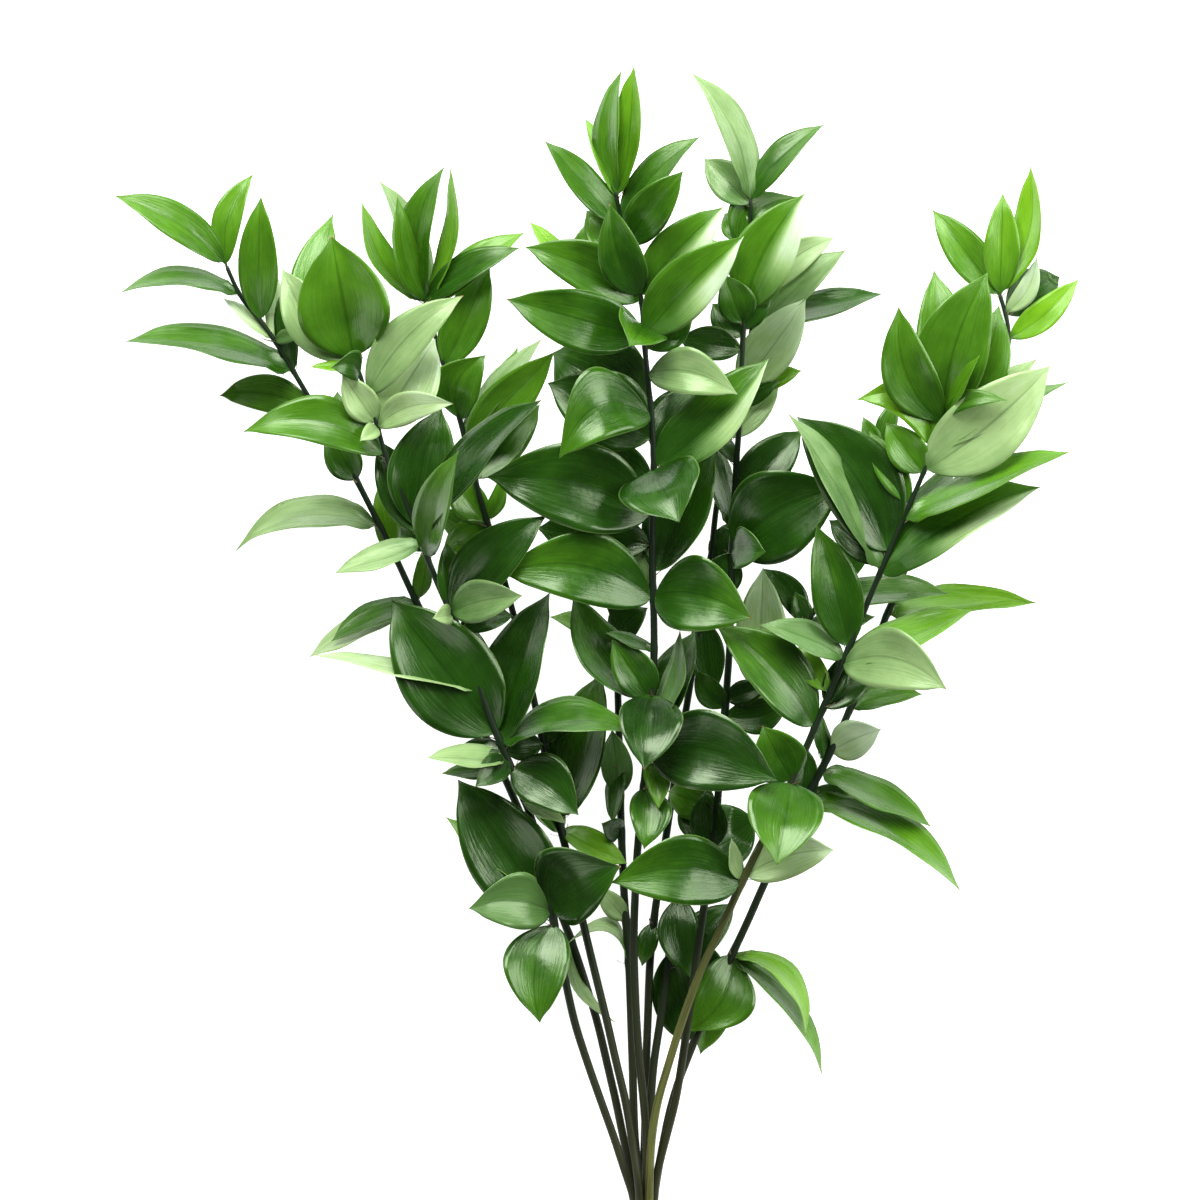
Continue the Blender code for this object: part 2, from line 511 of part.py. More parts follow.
def outer_space(grid, reach):
    """Space round a blade beyond its stalk."""
    blade = grid.copy()
    near = [vertex for vertex in blade.verts if vertex.index < 3]
    bmesh.ops.delete(blade, geom=near, context="VERTS")
    blade.verts.index_update()
    space = Space(*swept_space(blade, reach))
    blade.free()
    return space


def tie_loop(places, reach, steps):
    """Outline of a band drawn tight round stems at places, seen along the bunch."""
    points = []
    for step in range(steps):
        angle = 2.0 * math.pi * (step + 0.5) / steps
        out = (math.cos(angle), math.sin(angle))
        centre = max(places, key=lambda place: place[0] * out[0] + place[1] * out[1])
        points.append((centre[0] + out[0] * reach, centre[1] + out[1] * reach))
    return points


def tie_object(paths, group, material):
    """Flat band round the gathered stems, lying on its flat underside."""
    places = [(np.interp(0.0, path[:, 1], path[:, 0]), np.interp(0.0, path[:, 1], path[:, 2]))
              for path in paths.values()]
    body = bmesh.new()
    rings = []
    for reach in (FOOT_RADIUS + 0.0003, FOOT_RADIUS + 0.0003 + TIE_THICKNESS):
        for y in (-TIE_HALF_LENGTH, TIE_HALF_LENGTH):
            outline = tie_loop(places, reach, TIE_STEPS)
            rings.append([body.verts.new((x, y, z)) for x, z in outline])
    order = [rings[0], rings[1], rings[3], rings[2]]
    for near, far in zip(order, order[1:] + order[:1]):
        for index in range(TIE_STEPS):
            after = (index + 1) % TIE_STEPS
            body.faces.new((near[index], near[after], far[after], far[index]))
    bmesh.ops.recalc_face_normals(body, faces=body.faces)
    lowest = min(vertex.co.z for vertex in body.verts)
    for vertex in body.verts:
        if vertex.co.z < lowest + 0.00004:
            vertex.co.z = 0.0
    mesh = bpy.data.meshes.new("tie")
    body.to_mesh(mesh)
    body.free()
    mesh.shade_smooth()
    mesh.set_sharp_from_angle(angle=math.radians(38))
    return new_object("tie", mesh, group, material)


def build():
    clear_objects()
    group = bpy.data.collections.new(NAME)
    blades = bpy.data.collections.new(NAME + "_blades")
    bpy.context.scene.collection.children.link(group)
    bpy.context.scene.collection.children.link(blades)
    green = new_material("leaf_green", (0.045, 0.165, 0.022), 0.35)
    raffia = new_material("raffia", (0.50, 0.36, 0.19), 0.75)
    paths = stem_paths()
    spaces = {}
    for name, path in paths.items():
        probe = stem_object("probe", path, blades, green)
        points = np.array([vertex.co for vertex in probe.data.vertices])
        spaces[name] = Space(points, [list(face.vertices) for face in probe.data.polygons])
        bpy.data.objects.remove(probe, do_unlink=True)
    grids = place_leaves(paths, spaces)
    for name, path in paths.items():
        leafy_stem(name, path, grids[name], group, blades, green)
    tie_object(paths, group, raffia)


build()
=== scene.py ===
# A bunch of fresh ruscus stems lying on a white table, seen from straight above.
# Lengths in the tables are in millimetres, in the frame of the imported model.
import math

import bpy
import numpy as np
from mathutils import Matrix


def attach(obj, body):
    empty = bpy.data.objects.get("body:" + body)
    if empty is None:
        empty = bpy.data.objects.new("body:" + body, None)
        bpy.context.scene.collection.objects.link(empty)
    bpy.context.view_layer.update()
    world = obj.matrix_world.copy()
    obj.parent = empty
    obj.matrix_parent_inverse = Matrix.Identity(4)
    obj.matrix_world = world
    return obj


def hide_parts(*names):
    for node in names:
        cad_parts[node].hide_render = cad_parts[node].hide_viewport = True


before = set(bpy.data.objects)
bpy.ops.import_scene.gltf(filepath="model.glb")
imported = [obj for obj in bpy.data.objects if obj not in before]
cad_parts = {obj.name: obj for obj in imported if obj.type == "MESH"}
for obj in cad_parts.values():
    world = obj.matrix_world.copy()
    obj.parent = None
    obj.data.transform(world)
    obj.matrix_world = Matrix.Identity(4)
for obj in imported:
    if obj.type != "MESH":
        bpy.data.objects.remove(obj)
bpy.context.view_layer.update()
mm = 0.001

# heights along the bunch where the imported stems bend
bends = [-12, 12, 22, 34, 48, 66, 90, 120, 155, 190, 230, 270, 315, 360, 400, 440, 480]

# each stem, rearmost first: its place across the tie and layer in it, the rise of its top, its length
# below the tie, and the points (across, along) that it passes through
stems = {
    "stem_far_right": dict(across=7.05, layer=0, rise=22, below=84, points=[
        (8.8, 22), (12, 40), (15, 55), (20, 72), (24.4, 82), (28, 92), (38, 115), (47, 135),
        (54.2, 150), (62.8, 170), (66.6, 178), (80, 205), (92, 228), (98, 240), (107, 260), (116, 283),
        (124, 305), (130, 318), (134, 330), (150, 365), (168, 400), (180, 425), (186, 438), (185, 452),
        (180, 467)]),
    "stem_far_left": dict(across=-2.35, layer=0, rise=24, below=88, points=[
        (-3.7, 22), (-8, 40), (-12, 60), (-16.7, 80), (-21.3, 100), (-27.5, 120), (-34, 140),
        (-46, 170), (-60, 205), (-78, 245), (-96, 282), (-113, 312), (-121, 330), (-131, 350),
        (-141, 370), (-150, 387), (-160, 403), (-171.6, 423), (-181.8, 440), (-188, 450), (-200, 462),
        (-208, 481)]),
    "stem_rear_right": dict(across=2.35, layer=0, rise=28, below=80, points=[
        (2, 22), (2.5, 40), (3, 60), (3.2, 80), (4, 100), (5, 130), (7.5, 155), (15, 205), (18, 225),
        (27, 280), (36, 335), (38, 357), (46, 400), (55, 442), (60, 468)]),
    "stem_mid_right": dict(across=4.7, layer=1, rise=20, below=90, points=[
        (4, 22), (4.6, 40), (5.4, 60), (7, 80), (10, 98), (17, 150), (27, 200), (40, 237), (56, 258),
        (70, 280), (84, 301), (107, 336), (117, 370), (122, 396)]),
    "stem_rear_centre": dict(across=0, layer=1, rise=38, below=86, points=[
        (0, 22), (-2.6, 40), (-3.2, 60), (-3.7, 80), (-4.4, 100), (-5.4, 130), (-8, 165), (-9.5, 200),
        (-10, 228), (-12, 300), (-16, 360), (-22, 420), (-28, 472)]),
    "stem_front_left": dict(across=-2.35, layer=2, rise=84, below=82, points=[
        (-6, 20), (-12.2, 40), (-19.4, 60), (-26.4, 80), (-32.9, 100), (-39.2, 130), (-43, 150),
        (-50, 188), (-53, 200), (-61, 220), (-71.6, 245), (-78, 262), (-84, 280), (-91, 300),
        (-97, 311), (-105, 330), (-112, 350), (-120, 368), (-126, 380), (-131, 400), (-138, 420),
        (-142, 432)]),
    "stem_centre_right": dict(across=7.05, layer=2, rise=70, below=90, points=[
        (8, 22), (14, 45), (18, 60), (22, 85), (24, 100), (31, 150), (38, 200), (43, 262), (45, 290),
        (46, 340), (48, 380), (50, 405), (51, 440), (53, 470), (55, 495), (55, 513)]),
    "stem_front_centre": dict(across=2.35, layer=2, rise=92, below=88, points=[
        (3.5, 26), (3.5, 40), (2, 60), (-0.3, 80), (-2, 105), (-3, 130), (-3, 150), (-1.5, 185),
        (2, 220), (5, 250), (7, 280), (7, 300), (6, 330), (6, 350), (7, 380), (6, 400), (4, 420),
        (2, 440), (1, 460), (-4, 480), (-9, 498), (-12, 512), (-12.3, 516)]),
    "stem_mid_left": dict(across=0, layer=3, rise=54, below=84, points=[
        (-1, 22), (-3.7, 40), (-7, 60), (-11.9, 80), (-16.3, 100), (-21.3, 120), (-27.8, 147),
        (-33, 170), (-39.5, 197), (-48, 237), (-53, 262), (-62, 300), (-70, 330), (-76, 350),
        (-81, 366), (-85, 383), (-92, 410), (-99, 432), (-104, 450), (-108, 463)]),
    "stem_front_right": dict(across=4.7, layer=3, rise=90, below=86, points=[
        (4.9, 25), (5.6, 40), (7, 50), (8.6, 60), (14.6, 80), (20, 98), (26, 115), (32, 131), (38, 142),
        (46, 160), (50.5, 170), (58, 186), (66, 200), (74, 217), (78, 227), (84, 241), (91, 257),
        (99, 277), (106, 292), (112, 308), (120, 327), (128, 346), (135, 362), (142, 378), (147, 392),
        (152, 408)], olive=1),
}

# each leaf: height of its root, tip across and along, width seen from above, rise to the tip, arch,
# sideways bow, and lightness from 0 dark to 1 yellow-green; 1 more than that for a pale dull face,
# 2 more for a painted highlight, a silvery wash over the right half towards the tip
leaves = {
    "stem_front_centre": [
        (512, -4, 577, 14, 6, 4, -2, 0.68), (514, -10, 575, 12, -5, 2, 5, 0.5),
        (512, -27, 552, 10, -14, 3, -1, 0.75), (498, -47, 540, 15, 8, 4, 0, 0.36),
        (500, 29, 542, 14, 8, 4, 4, 0.36), (488, 21, 524, 20, 14, 4, 2, 0.34),
        (463, -15, 508, 21, 24, 5, 4, 0.3), (480, -27, 506, 20, -12, 3, 0, 0.5),
        (460, -57, 487, 24, 10, 5, -4, 0.4), (463, 41, 507, 24, 6, 5, 2, 2.44),
        (443, 51, 492, 27, 20, 6, 2, 2.46), (443, -66, 461, 29, 16, 6, 0, 0.32),
        (448, -5, 438, 26, 36, 4, 0, 0.4), (410, -44, 436, 44, -8, 4, 0, 0.2),
        (437, 26, 460, 22, 2, 2, 0, 0.3), (392, -46, 420, 36, -16, 4, -2, 0.2),
        (424, 48, 414, 22, 16, 8, 6, 1.45), (378, 63, 432, 27, 14, 6, -3, 2.32),
        (385, 30, 418, 28, -14, 4, 0, 0.25), (370, -34, 388, 24, -14, 4, 0, 0.2),
        (404, -40, 382, 34, 22, 12, -16, 0.34), (354, -76, 373, 41, 10, 8, -7, 0.2),
        (340, -52, 348, 26, -16, 4, 0, 0.2), (377, 19, 351, 40, 30, 6, 0, 0.22),
        (325, 36, 392, 28, -14, 5, 0, 0.25), (312, -70, 325, 34, 16, 8, -11, 0.35),
        (318, -36, 351, 30, -8, 4, 0, 1.5), (314, 55, 303, 36, 22, 8, 6, 0.3),
        (263, -33, 315, 24, -10, 3, 6, 0.3), (262, -14, 292, 20, 8, 3, 0, 0.3),
        (250, 19, 297, 10, 8, 2, -6, 1.15), (245, 27, 297, 20, -8, 4, 0, 0.25),
        (265, 2, 228, 30, 22, 6, 0, 0.1), (238, 68, 222, 38, 24, 8, 7, 0.1),
        (218, 2, 188, 20, 14, 4, 3, 0.35), (231, 9, 208, 12, 12, 2, 3, 0.6),
        (287, -17, 296, 6, 4, 2, 0, 0.2)],
    "stem_front_left": [
        (432, -153, 492, 43, 14, 6, 0, 0.5), (430, -178, 477, 24, -6, 4, 5, 1.5),
        (430, -153, 505, 26, -10, 4, 14, 0.55), (424, -153, 427, 14, 16, 3, -4, 0.25),
        (428, -164, 428, 5, 4, 2, 0, 0.9), (413, -88, 463, 21, 14, 6, 6, 1.5),
        (397, -102, 442, 30, 4, 6, 0, 1.75), (400, -148, 424, 16, 6, 3, 0, 1.6),
        (398, -93, 409, 15, 22, 4, 5, 1.7), (384, -197, 396, 23, 8, 6, -11, 0.48),
        (336, -117, 352, 15, -8, 3, 0, 0.3), (345, -130, 392, 20, -6, 3, 0, 0.15),
        (347, -99, 408, 32, -8, 5, 4, 0.2), (345, -50, 412, 18, 20, 6, 5, 0.1),
        (333, -91, 385, 17, 24, 5, 3, 0.45), (341, -152, 326, 12, 10, 4, 1, 1.45),
        (308, -97, 341, 14, 4, 3, -2, 0.3), (306, -47, 354, 26, 12, 6, 4, 0.15),
        (306, -59, 314, 20, 18, 3, 2, 1.35), (305, -103, 303, 10, 14, 2, 0, 1.6),
        (244, -124, 312, 46, 6, 6, 0, 0.2), (245, -85, 300, 20, -12, 4, 0, 0.2),
        (267, -163, 286, 8, 8, 4, -1, 1.7), (240, -46, 316, 27, -8, 5, 4, 0.2),
        (240, -1, 246, 16, 16, 5, 10, 0.36), (233, -106, 234, 11, 18, 3, 0, 1.55),
        (238, -90, 239, 8, -4, 2, 0, 0.1), (238, -48, 240, 14, -6, 2, 0, 0.2),
        (231, -99, 226, 9, 6, 2, 2, 0.4), (233, -82, 219, 14, 16, 3, 0, 0.1),
        (152, -91, 222, 40, 4, 7, 0, 0.15), (165, -97, 204, 13, -10, 3, 1, 0.9),
        (156, -85, 158, 27, 10, 4, -5, 1.05), (150, -50, 101, 31, 14, 6, -6, 0.35),
        (156, -10, 179, 38, 12, 7, 8, 0.15), (228, -31, 205, 26, 16, 4, 4, 0.15),
        (398, -139, 391, 8, 12, 2, 0, 1.6), (214, -37, 201, 8, 10, 2, -1, 1.5),
        (298, -63, 304, 13, 6, 3, 2, 0.15)],
    "stem_front_right": [
        (402, 172, 474, 34, 14, 6, 5, 0.45), (402, 146, 476, 26, -8, 4, -2, 0.55),
        (400, 128, 457, 25, 2, 4, 8, 0.42), (404, 178, 458, 26, -6, 4, -6, 0.5),
        (405, 167, 433, 6, 20, 2, 0, 0.6), (403, 181, 411, 9, 16, 5, 5, 0.4),
        (376, 203, 428, 35, 14, 6, -3, 1.62), (386, 197, 433, 15, -6, 4, 0, 1.5),
        (385, 213, 422, 9, -10, 3, 0, 1.2), (388, 107, 411, 24, 6, 4, -16, 0.75),
        (375, 122, 400, 18, 4, 3, 0, 0.5), (360, 114, 396, 14, -4, 3, 0, 0.5),
        (327, 75, 405, 15, 16, 7, -2, 1.3), (335, 78, 403, 38, 2, 5, -8, 0.15),
        (324, 198, 369, 26, 16, 6, 6, 2.35), (352, 212, 387, 14, -10, 4, 1, 0.6),
        (330, 94, 352, 16, -10, 3, 0, 0.2), (335, 158, 381, 14, -6, 3, 0, 0.3),
        (288, 88, 349, 24, 16, 4, -1, 0.3), (281, 165, 308, 17, 2, 4, 0, 0.7),
        (280, 151, 268, 29, 12, 4, 9, 1.5), (283, 60, 300, 14, 10, 4, -3, 1.2),
        (248, 38, 300, 28, 8, 6, -5, 0.38), (260, 104, 286, 12, -4, 2, 0, 0.1),
        (258, 116, 274, 12, -8, 2, 0, 0.1), (222, 61, 249, 26, 4, 3, 0, 0.35),
        (221, 68, 181, 36, 26, 6, 0, 0.42), (174, 97, 187, 22, 2, 3, 4, 1.7),
        (170, -14, 171, 33, 18, 8, -8, 0.3), (172, 46, 193, 7, 8, 2, 2, 1.6),
        (266, 80, 292, 12, -6, 3, 2, 0.75)],
    "stem_centre_right": [
        (511, 26, 575, 15, 6, 5, -7, 1.42), (511, 91, 549, 13, 2, 4, 4, 0.38),
        (509, 32, 532, 18, -6, 3, 0, 1.35), (478, 79, 513, 26, -4, 5, 12, 0.4),
        (491, 42, 505, 14, -6, 3, 0, 0.42), (456, 82, 514, 29, 14, 7, 5, 2.5),
        (450, 42, 474, 18, 6, 3, 0, 0.32), (443, 36, 460, 15, -6, 2, 0, 0.3),
        (437, 19, 442, 16, -8, 4, -1, 0.15), (447, 65, 462, 8, 4, 2, 0, 0.2),
        (348, 32, 398, 12, -6, 3, 0, 0.3), (380, 36, 400, 8, -8, 2, 0, 0.2),
        (337, 100, 368, 43, 2, 7, 6, 0.2), (362, 81, 397, 22, -8, 4, 0, 0.15),
        (338, 62, 336, 20, 6, 3, 0, 0.2), (336, 38, 312, 18, -6, 3, 0, 0.2),
        (258, 28, 277, 13, 4, 3, 2, 0.3), (262, 64, 270, 12, 4, 2, 0, 0.1),
        (254, 75, 262, 17, -4, 4, -4, 0.25), (208, 14, 216, 20, -6, 3, 0, 0.6),
        (194, 19, 208, 16, -8, 3, 0, 0.3), (187, 33, 217, 18, -4, 3, 0, 0.15)],
    "stem_mid_left": [
        (461, -98, 528, 17, 14, 5, 9, 0.4), (461, -96, 528, 8, 8, 3, -8, 0.8),
        (461, -130, 523, 13, -6, 3, -4, 1.35), (461, -138, 511, 12, 2, 3, 7, 0.65),
        (461, -120, 513, 12, 4, 4, 4, 0.5), (461, -60, 488, 14, 13, 5, 4, 0.3),
        (428, -75, 478, 21, 2, 4, 0, 0.5), (402, -77, 434, 24, 4, 4, 8, 0.42),
        (381, -62, 439, 15, -3, 4, -2, 0.6), (390, -43, 435, 22, 8, 4, 0, 0.55),
        (372, -50, 410, 20, -8, 4, 1, 0.45), (350, -93, 376, 17, -8, 3, 2, 0.6),
        (340, -101, 356, 16, -10, 3, 0, 0.5), (350, -98, 336, 16, -8, 3, 0, 0.5),
        (202, -20, 276, 28, 2, 5, 0, 0.35), (197, -6, 180, 13, -6, 3, 0, 0.8),
        (240, -32, 263, 12, -6, 3, 0, 0.2), (195, -58, 226, 14, 2, 2, 0, 0.45),
        (459, -58, 496, 15, 3, 5, 2, 0.7), (352, -69, 374, 8, 2, 2, -2, 0.5),
        (395, -50, 443, 12, -8, 3, 0, 1.4)],
    "stem_rear_centre": [
        (470, -55, 502, 10, -6, 3, 0, 0.9), (470, -25, 502, 18, 4, 3, 0, 0.5),
        (290, -45, 304, 11, -4, 3, -2, 0.7), (290, 4, 308, 16, 4, 3, 4, 0.12),
        (214, -14, 247, 15, 4, 3, 0, 1.2), (228, -14, 200, 9, 6, 3, 0, 0.3),
        (195, -19, 200, 12, 4, 1, 0, 0.2), (151, -21, 168, 11, 4, 2, 0, 1.6),
        (130, -36, 140, 7, 6, 3, -14, 1.5), (300, -3, 322, 12, -4, 3, 3, 0.15)],
    "stem_mid_right": [
        (312, 155, 316, 14, 2, 3, 2, 0.4), (300, 78, 316, 10, 2, 2, 0, 0.3),
        (300, 62, 328, 13, -4, 2, -3, 0.15), (265, 62, 328, 25, 0, 3, 0, 1.7),
        (255, 75, 263, 10, 2, 2, 0, 1.2), (318, 118, 350, 14, 2, 2, 0, 0.3),
        (296, 118, 304, 12, 2, 2, 0, 0.3), (390, 128, 412, 10, 0, 2, 0, 0.4),
        (385, 112, 404, 9, 2, 2, 0, 0.4), (163, 26, 122, 20, 10, 4, -3, 0.2),
        (185, 58, 203, 30, -4, 4, -2, 0.15), (128, 48, 160, 20, -3, 3, 0, 0.15),
        (136, 24, 88, 26, 8, 5, 1, 0.2)],
    "stem_rear_right": [
        (465, 98, 494, 16, -4, 3, 4, 1.65), (447, 103, 488, 17, 0, 3, 2, 1.35),
        (452, 122, 467, 14, -8, 3, 0, 0.2), (418, 83, 463, 24, 2, 4, -1, 1.75),
        (393, 70, 420, 14, -4, 3, 0, 1.6), (421, 81, 427, 12, 2, 2, 0, 0.8),
        (303, 36, 263, 17, -4, 3, 0, 0.2), (332, 50, 352, 12, -4, 2, 0, 0.2),
        (150, 1, 128, 10, 2, 3, 0, 0.3), (410, 70, 422, 9, 4, 2, 0, 0.2),
        (465, 33, 495, 9, -6, 2, 0, 0.9), (466, 48, 490, 8, -2, 2, 0, 0.8)],
    "stem_far_left": [
        (481, -263, 515, 17, 8, 4, -5, 0.55), (480, -194, 526, 14, -2, 3, 6, 0.65),
        (452, -190, 514, 19, 14, 4, 1, 0.5), (466, -261, 467, 10, 0, 4, -7, 0.4),
        (427, -258, 443, 15, 6, 5, -6, 0.4), (443, -209, 464, 7, -6, 2, 0, 1.8),
        (443, -182, 474, 9, -6, 2, 0, 1.8), (427, -180, 468, 11, 2, 3, 0, 0.2),
        (442, -167, 446, 7, 8, 2, 1, 1.1), (406, -212, 415, 18, -27, 4, -5, 0.5),
        (372, -157, 397, 17, 6, 3, 0, 0.35), (350, -205, 337, 15, -22, 5, -12, 1.5),
        (334, -131, 371, 13, -6, 3, 0, 0.7), (312, -110, 336, 9, 2, 2, -3, 0.5),
        (311, -167, 284, 13, -4, 3, -1, 1.6), (311, -155, 292, 12, 6, 3, -2, 0.35),
        (388, -152, 417, 12, -6, 2, 0, 0.45), (142, -11, 100, 6, 6, 3, -9, 1.5)],
    "stem_far_right": [
        (465, 147, 508, 19, -4, 4, 0, 0.6), (465, 182, 516, 17, 0, 4, 0, 0.7),
        (466, 195, 530, 14, 4, 3, -7, 0.9), (456, 199, 484, 10, 6, 3, -4, 1.8),
        (455, 212, 475, 20, -26, 3, 3, 0.2), (443, 220, 473, 14, 4, 3, -2, 0.9),
        (231, 88, 258, 8, 4, 2, 0, 0.3), (236, 121, 247, 19, 2, 3, 1, 1.85),
        (208, 84, 238, 14, -2, 2, 0, 0.2), (258, 142, 265, 12, -2, 2, 3, 0.5),
        (305, 200, 312, 14, -20, 4, 2, 0.8), (226, 147, 199, 14, 0, 4, 1, 0.5),
        (212, 162, 167, 15, 6, 5, 9, 0.6), (134, 24, 95, 29, 4, 5, 7, 0.45),
        (118, 29, 141, 14, -3, 2, 0, 0.2), (125, 31, 83, 17, -2, 3, 0, 0.55),
        (134, 84, 93, 10, 2, 3, 13, 0.85), (132, 93, 73, 9, -2, 3, 8, 0.6),
        (216, 117, 207, 13, -4, 3, 0, 1.1)],
}

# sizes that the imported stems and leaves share; heights along the bunch are in millimetres
stemForm = dict(
    footRadius=0.0021, topRadius=0.0010, thinFrom=20.0, thinning=2.2, gap=0.0010, layerRise=0.00407,
    tieWall=0.0015, tieMiddle=2.35, straight=12.0, splay=0.8, splayLength=76.0, pastTop=20, endClear=8)
bladeForm = dict(
    thickness=0.0008, stalkHalfWidth=0.0007, stalkShare=0.09, halfShare=0.52, peak=0.85, fullness=0.62,
    oldRatio=2.2, youngRatio=3.4, leafyFrom=0.05, shortestRatio=1.5, hiddenRise=0.030,
    steepestRoll=math.radians(60), rollShare=0.15, fold=0.26, foldSwing=0.10, foldWaves=2.8,
    foldShift=(0.7, 0.3), foldPower=1.6, foldMiddle=0.45)

goldenStep = 0.618  # spreads seeds evenly between 0 and 1
floorGap = 0.00002
bladeGap = 0.00005


def smoothStep(x, low, high):
    # 0 below low, 1 above high, with an eased ramp between
    s = np.clip((x - low) / (high - low), 0.0, 1.0)
    return s * s * (3.0 - 2.0 * s)


def unit(vectors):
    return vectors / np.linalg.norm(vectors, axis=-1, keepdims=True)


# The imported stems' centre lines, worked out again as the model does


def stemRadius(height, top):
    # thins slowly at first and faster towards the top
    share = np.clip((height - stemForm["thinFrom"]) / (top - stemForm["thinFrom"]), 0.0, 1.0)
    foot = stemForm["footRadius"]
    return foot + (stemForm["topRadius"] - foot) * share ** stemForm["thinning"]


def placeAcross(name, height):
    # straight lines through the stem's points, splayed out below the tie
    stem = stems[name]
    middle, straight = stemForm["tieMiddle"], stemForm["straight"]
    splay = 1.0 + stemForm["splay"] * max(0.0, -straight - height) / stemForm["splayLength"]
    low = middle + (stem["across"] - middle) * splay
    knots = np.array([(low, min(height, straight - 1.0) - 1.0), (stem["across"], straight)] + stem["points"])
    return float(np.interp(height, knots[:, 1], knots[:, 0])) * mm


def closestPass(name, other, height):
    # least distance across between two stems, half a bend either side of a height; 0 where they cross
    below = max(bend for bend in bends if bend < height)
    above = min([bend for bend in bends if bend > height], default=height)
    near = (0.5 * (below + height), height, 0.5 * (height + above))
    offsets = [placeAcross(name, h) - placeAcross(other, h) for h in near]
    return 0.0 if min(offsets) < 0.0 < max(offsets) else min(abs(offset) for offset in offsets)


def stemPaths():
    # each stem climbs evenly from its layer in the tie to its top, and lies over those laid before it
    # wherever they pass; rows of x, y, z and radius
    rows = {name: [] for name in stems}
    straight, endClear = stemForm["straight"], stemForm["endClear"]
    lowest = stemForm["tieWall"] + stemForm["footRadius"]
    ends = {name: (-stem["below"], stem["points"][-1][1]) for name, stem in stems.items()}
    for height in sorted(set(bends) | {end for pair in ends.values() for end in pair}):
        laid = []
        for name, (foot, top) in ends.items():
            if not foot <= height <= top + stemForm["pastTop"]:
                continue
            radius = float(stemRadius(height, top))
            z = lowest + stems[name]["layer"] * stemForm["layerRise"]
            z += (stems[name]["rise"] * mm - z) * max(0.0, (height - straight) / (top - straight))
            for other, otherZ, otherRadius in laid:
                reach = radius + otherRadius + stemForm["gap"]
                offset = closestPass(name, other, height) if height > straight else reach
                if offset < reach:
                    z = max(z, otherZ + math.sqrt(reach * reach - offset * offset))
            laid.append((name, z, radius))
            if height in (foot, top) or height in bends and foot + endClear < height < top - endClear:
                rows[name].append((placeAcross(name, height), height * mm, z, radius))
    return {name: np.array(found) for name, found in rows.items()}


lineLook = dict(blurReach=18, blurWidth=6.0, headingReach=0.004)


def smoothPath(name, path):
    # the same line every millimetre, through the closer points, with its corners blurred round
    heights = np.arange(round(path[0, 1] / mm), round(path[-1, 1] / mm) + 1)
    line = np.empty((len(heights), 4))
    line[:, 0] = [placeAcross(name, height) for height in heights]
    line[:, 1] = heights * mm
    line[:, 2:] = np.stack([np.interp(line[:, 1], path[:, 1], path[:, k]) for k in (2, 3)], axis=1)
    reach = lineLook["blurReach"]
    blur = np.exp(-0.5 * (np.arange(-reach, reach + 1) / lineLook["blurWidth"]) ** 2)
    blur /= blur.sum()
    for k in (0, 2):
        start = 2.0 * line[0, k] - line[reach:0:-1, k]
        end = 2.0 * line[-1, k] - line[-2:-2 - reach:-1, k]
        line[:, k] = np.convolve(np.concatenate([start, line[:, k], end]), blur, mode="valid")
    return line


def pointOnStem(path, height):
    # point on a centre line and the direction it runs there
    y = height * mm + lineLook["headingReach"] * np.array([-1.0, 0.0, 1.0])
    before, point, after = np.stack([np.interp(y, path[:, 1], path[:, 0]), y,
                                     np.interp(y, path[:, 1], path[:, 2])], axis=1)
    return point, unit(after - before)


# Leaves


def leafRise(path, leaf):
    # a blade that shows shorter than it is wide points up or down by what is hidden
    height, tipX, tipY, width, rise = leaf[:5]
    root, _ = pointOnStem(path, height)
    flat = math.hypot(tipX * mm - root[0], tipY * mm - root[1])
    hidden = math.sqrt(max(0.0, (bladeForm["shortestRatio"] * width * mm) ** 2 - flat * flat))
    return math.copysign(max(abs(rise) * mm, min(bladeForm["hiddenRise"], hidden)), rise)


def leafFrame(path, leaf, tipZ, root, t):
    # midrib: a straight run from root to tip, plus a hump upwards and a bow sideways; the blade rolls
    # about it by the angle that makes its seen width fit a leaf of the usual length to width
    look = bladeForm
    height, tipX, tipY, width, _, arch, bow = leaf[:7]
    cadRoot, run = pointOnStem(path, height)
    share = np.clip((height * mm - look["leafyFrom"]) / (path[-1, 1] - look["leafyFrom"]), 0.0, 1.0)
    flat = math.hypot(tipX * mm - cadRoot[0], tipY * mm - cadRoot[1])
    ratio = look["oldRatio"] + (look["youngRatio"] - look["oldRatio"]) * share ** 3
    roll = math.acos(min(1.0, max(math.cos(look["steepestRoll"]), width * mm * ratio / flat)))
    chord = np.array([tipX * mm, tipY * mm, tipZ]) - root
    length = np.linalg.norm(chord)
    along = chord / length
    side = unit(np.cross([0.0, 0.0, 1.0], along))
    up = np.cross(along, side)
    turn = roll * (1.0 if np.dot(run, side) >= 0.0 else -1.0) * np.clip(t / look["rollShare"], 0.0, 1.0)
    hump = 4.0 * t * (1.0 - t) * mm
    centre = (root + np.multiply.outer(t * length, along)
              + np.multiply.outer(hump * arch, up) + np.multiply.outer(hump * bow, side))
    across = np.multiply.outer(np.cos(turn), side) - np.multiply.outer(np.sin(turn), up)
    facing = np.multiply.outer(np.cos(turn), up) + np.multiply.outer(np.sin(turn), side)
    shift = look["foldShift"][0] * height + look["foldShift"][1] * tipX
    wave = look["fold"] + look["foldSwing"] * np.sin(look["foldWaves"] * math.pi * t + shift)
    return centre, across, facing, wave, width * mm / math.cos(roll), length


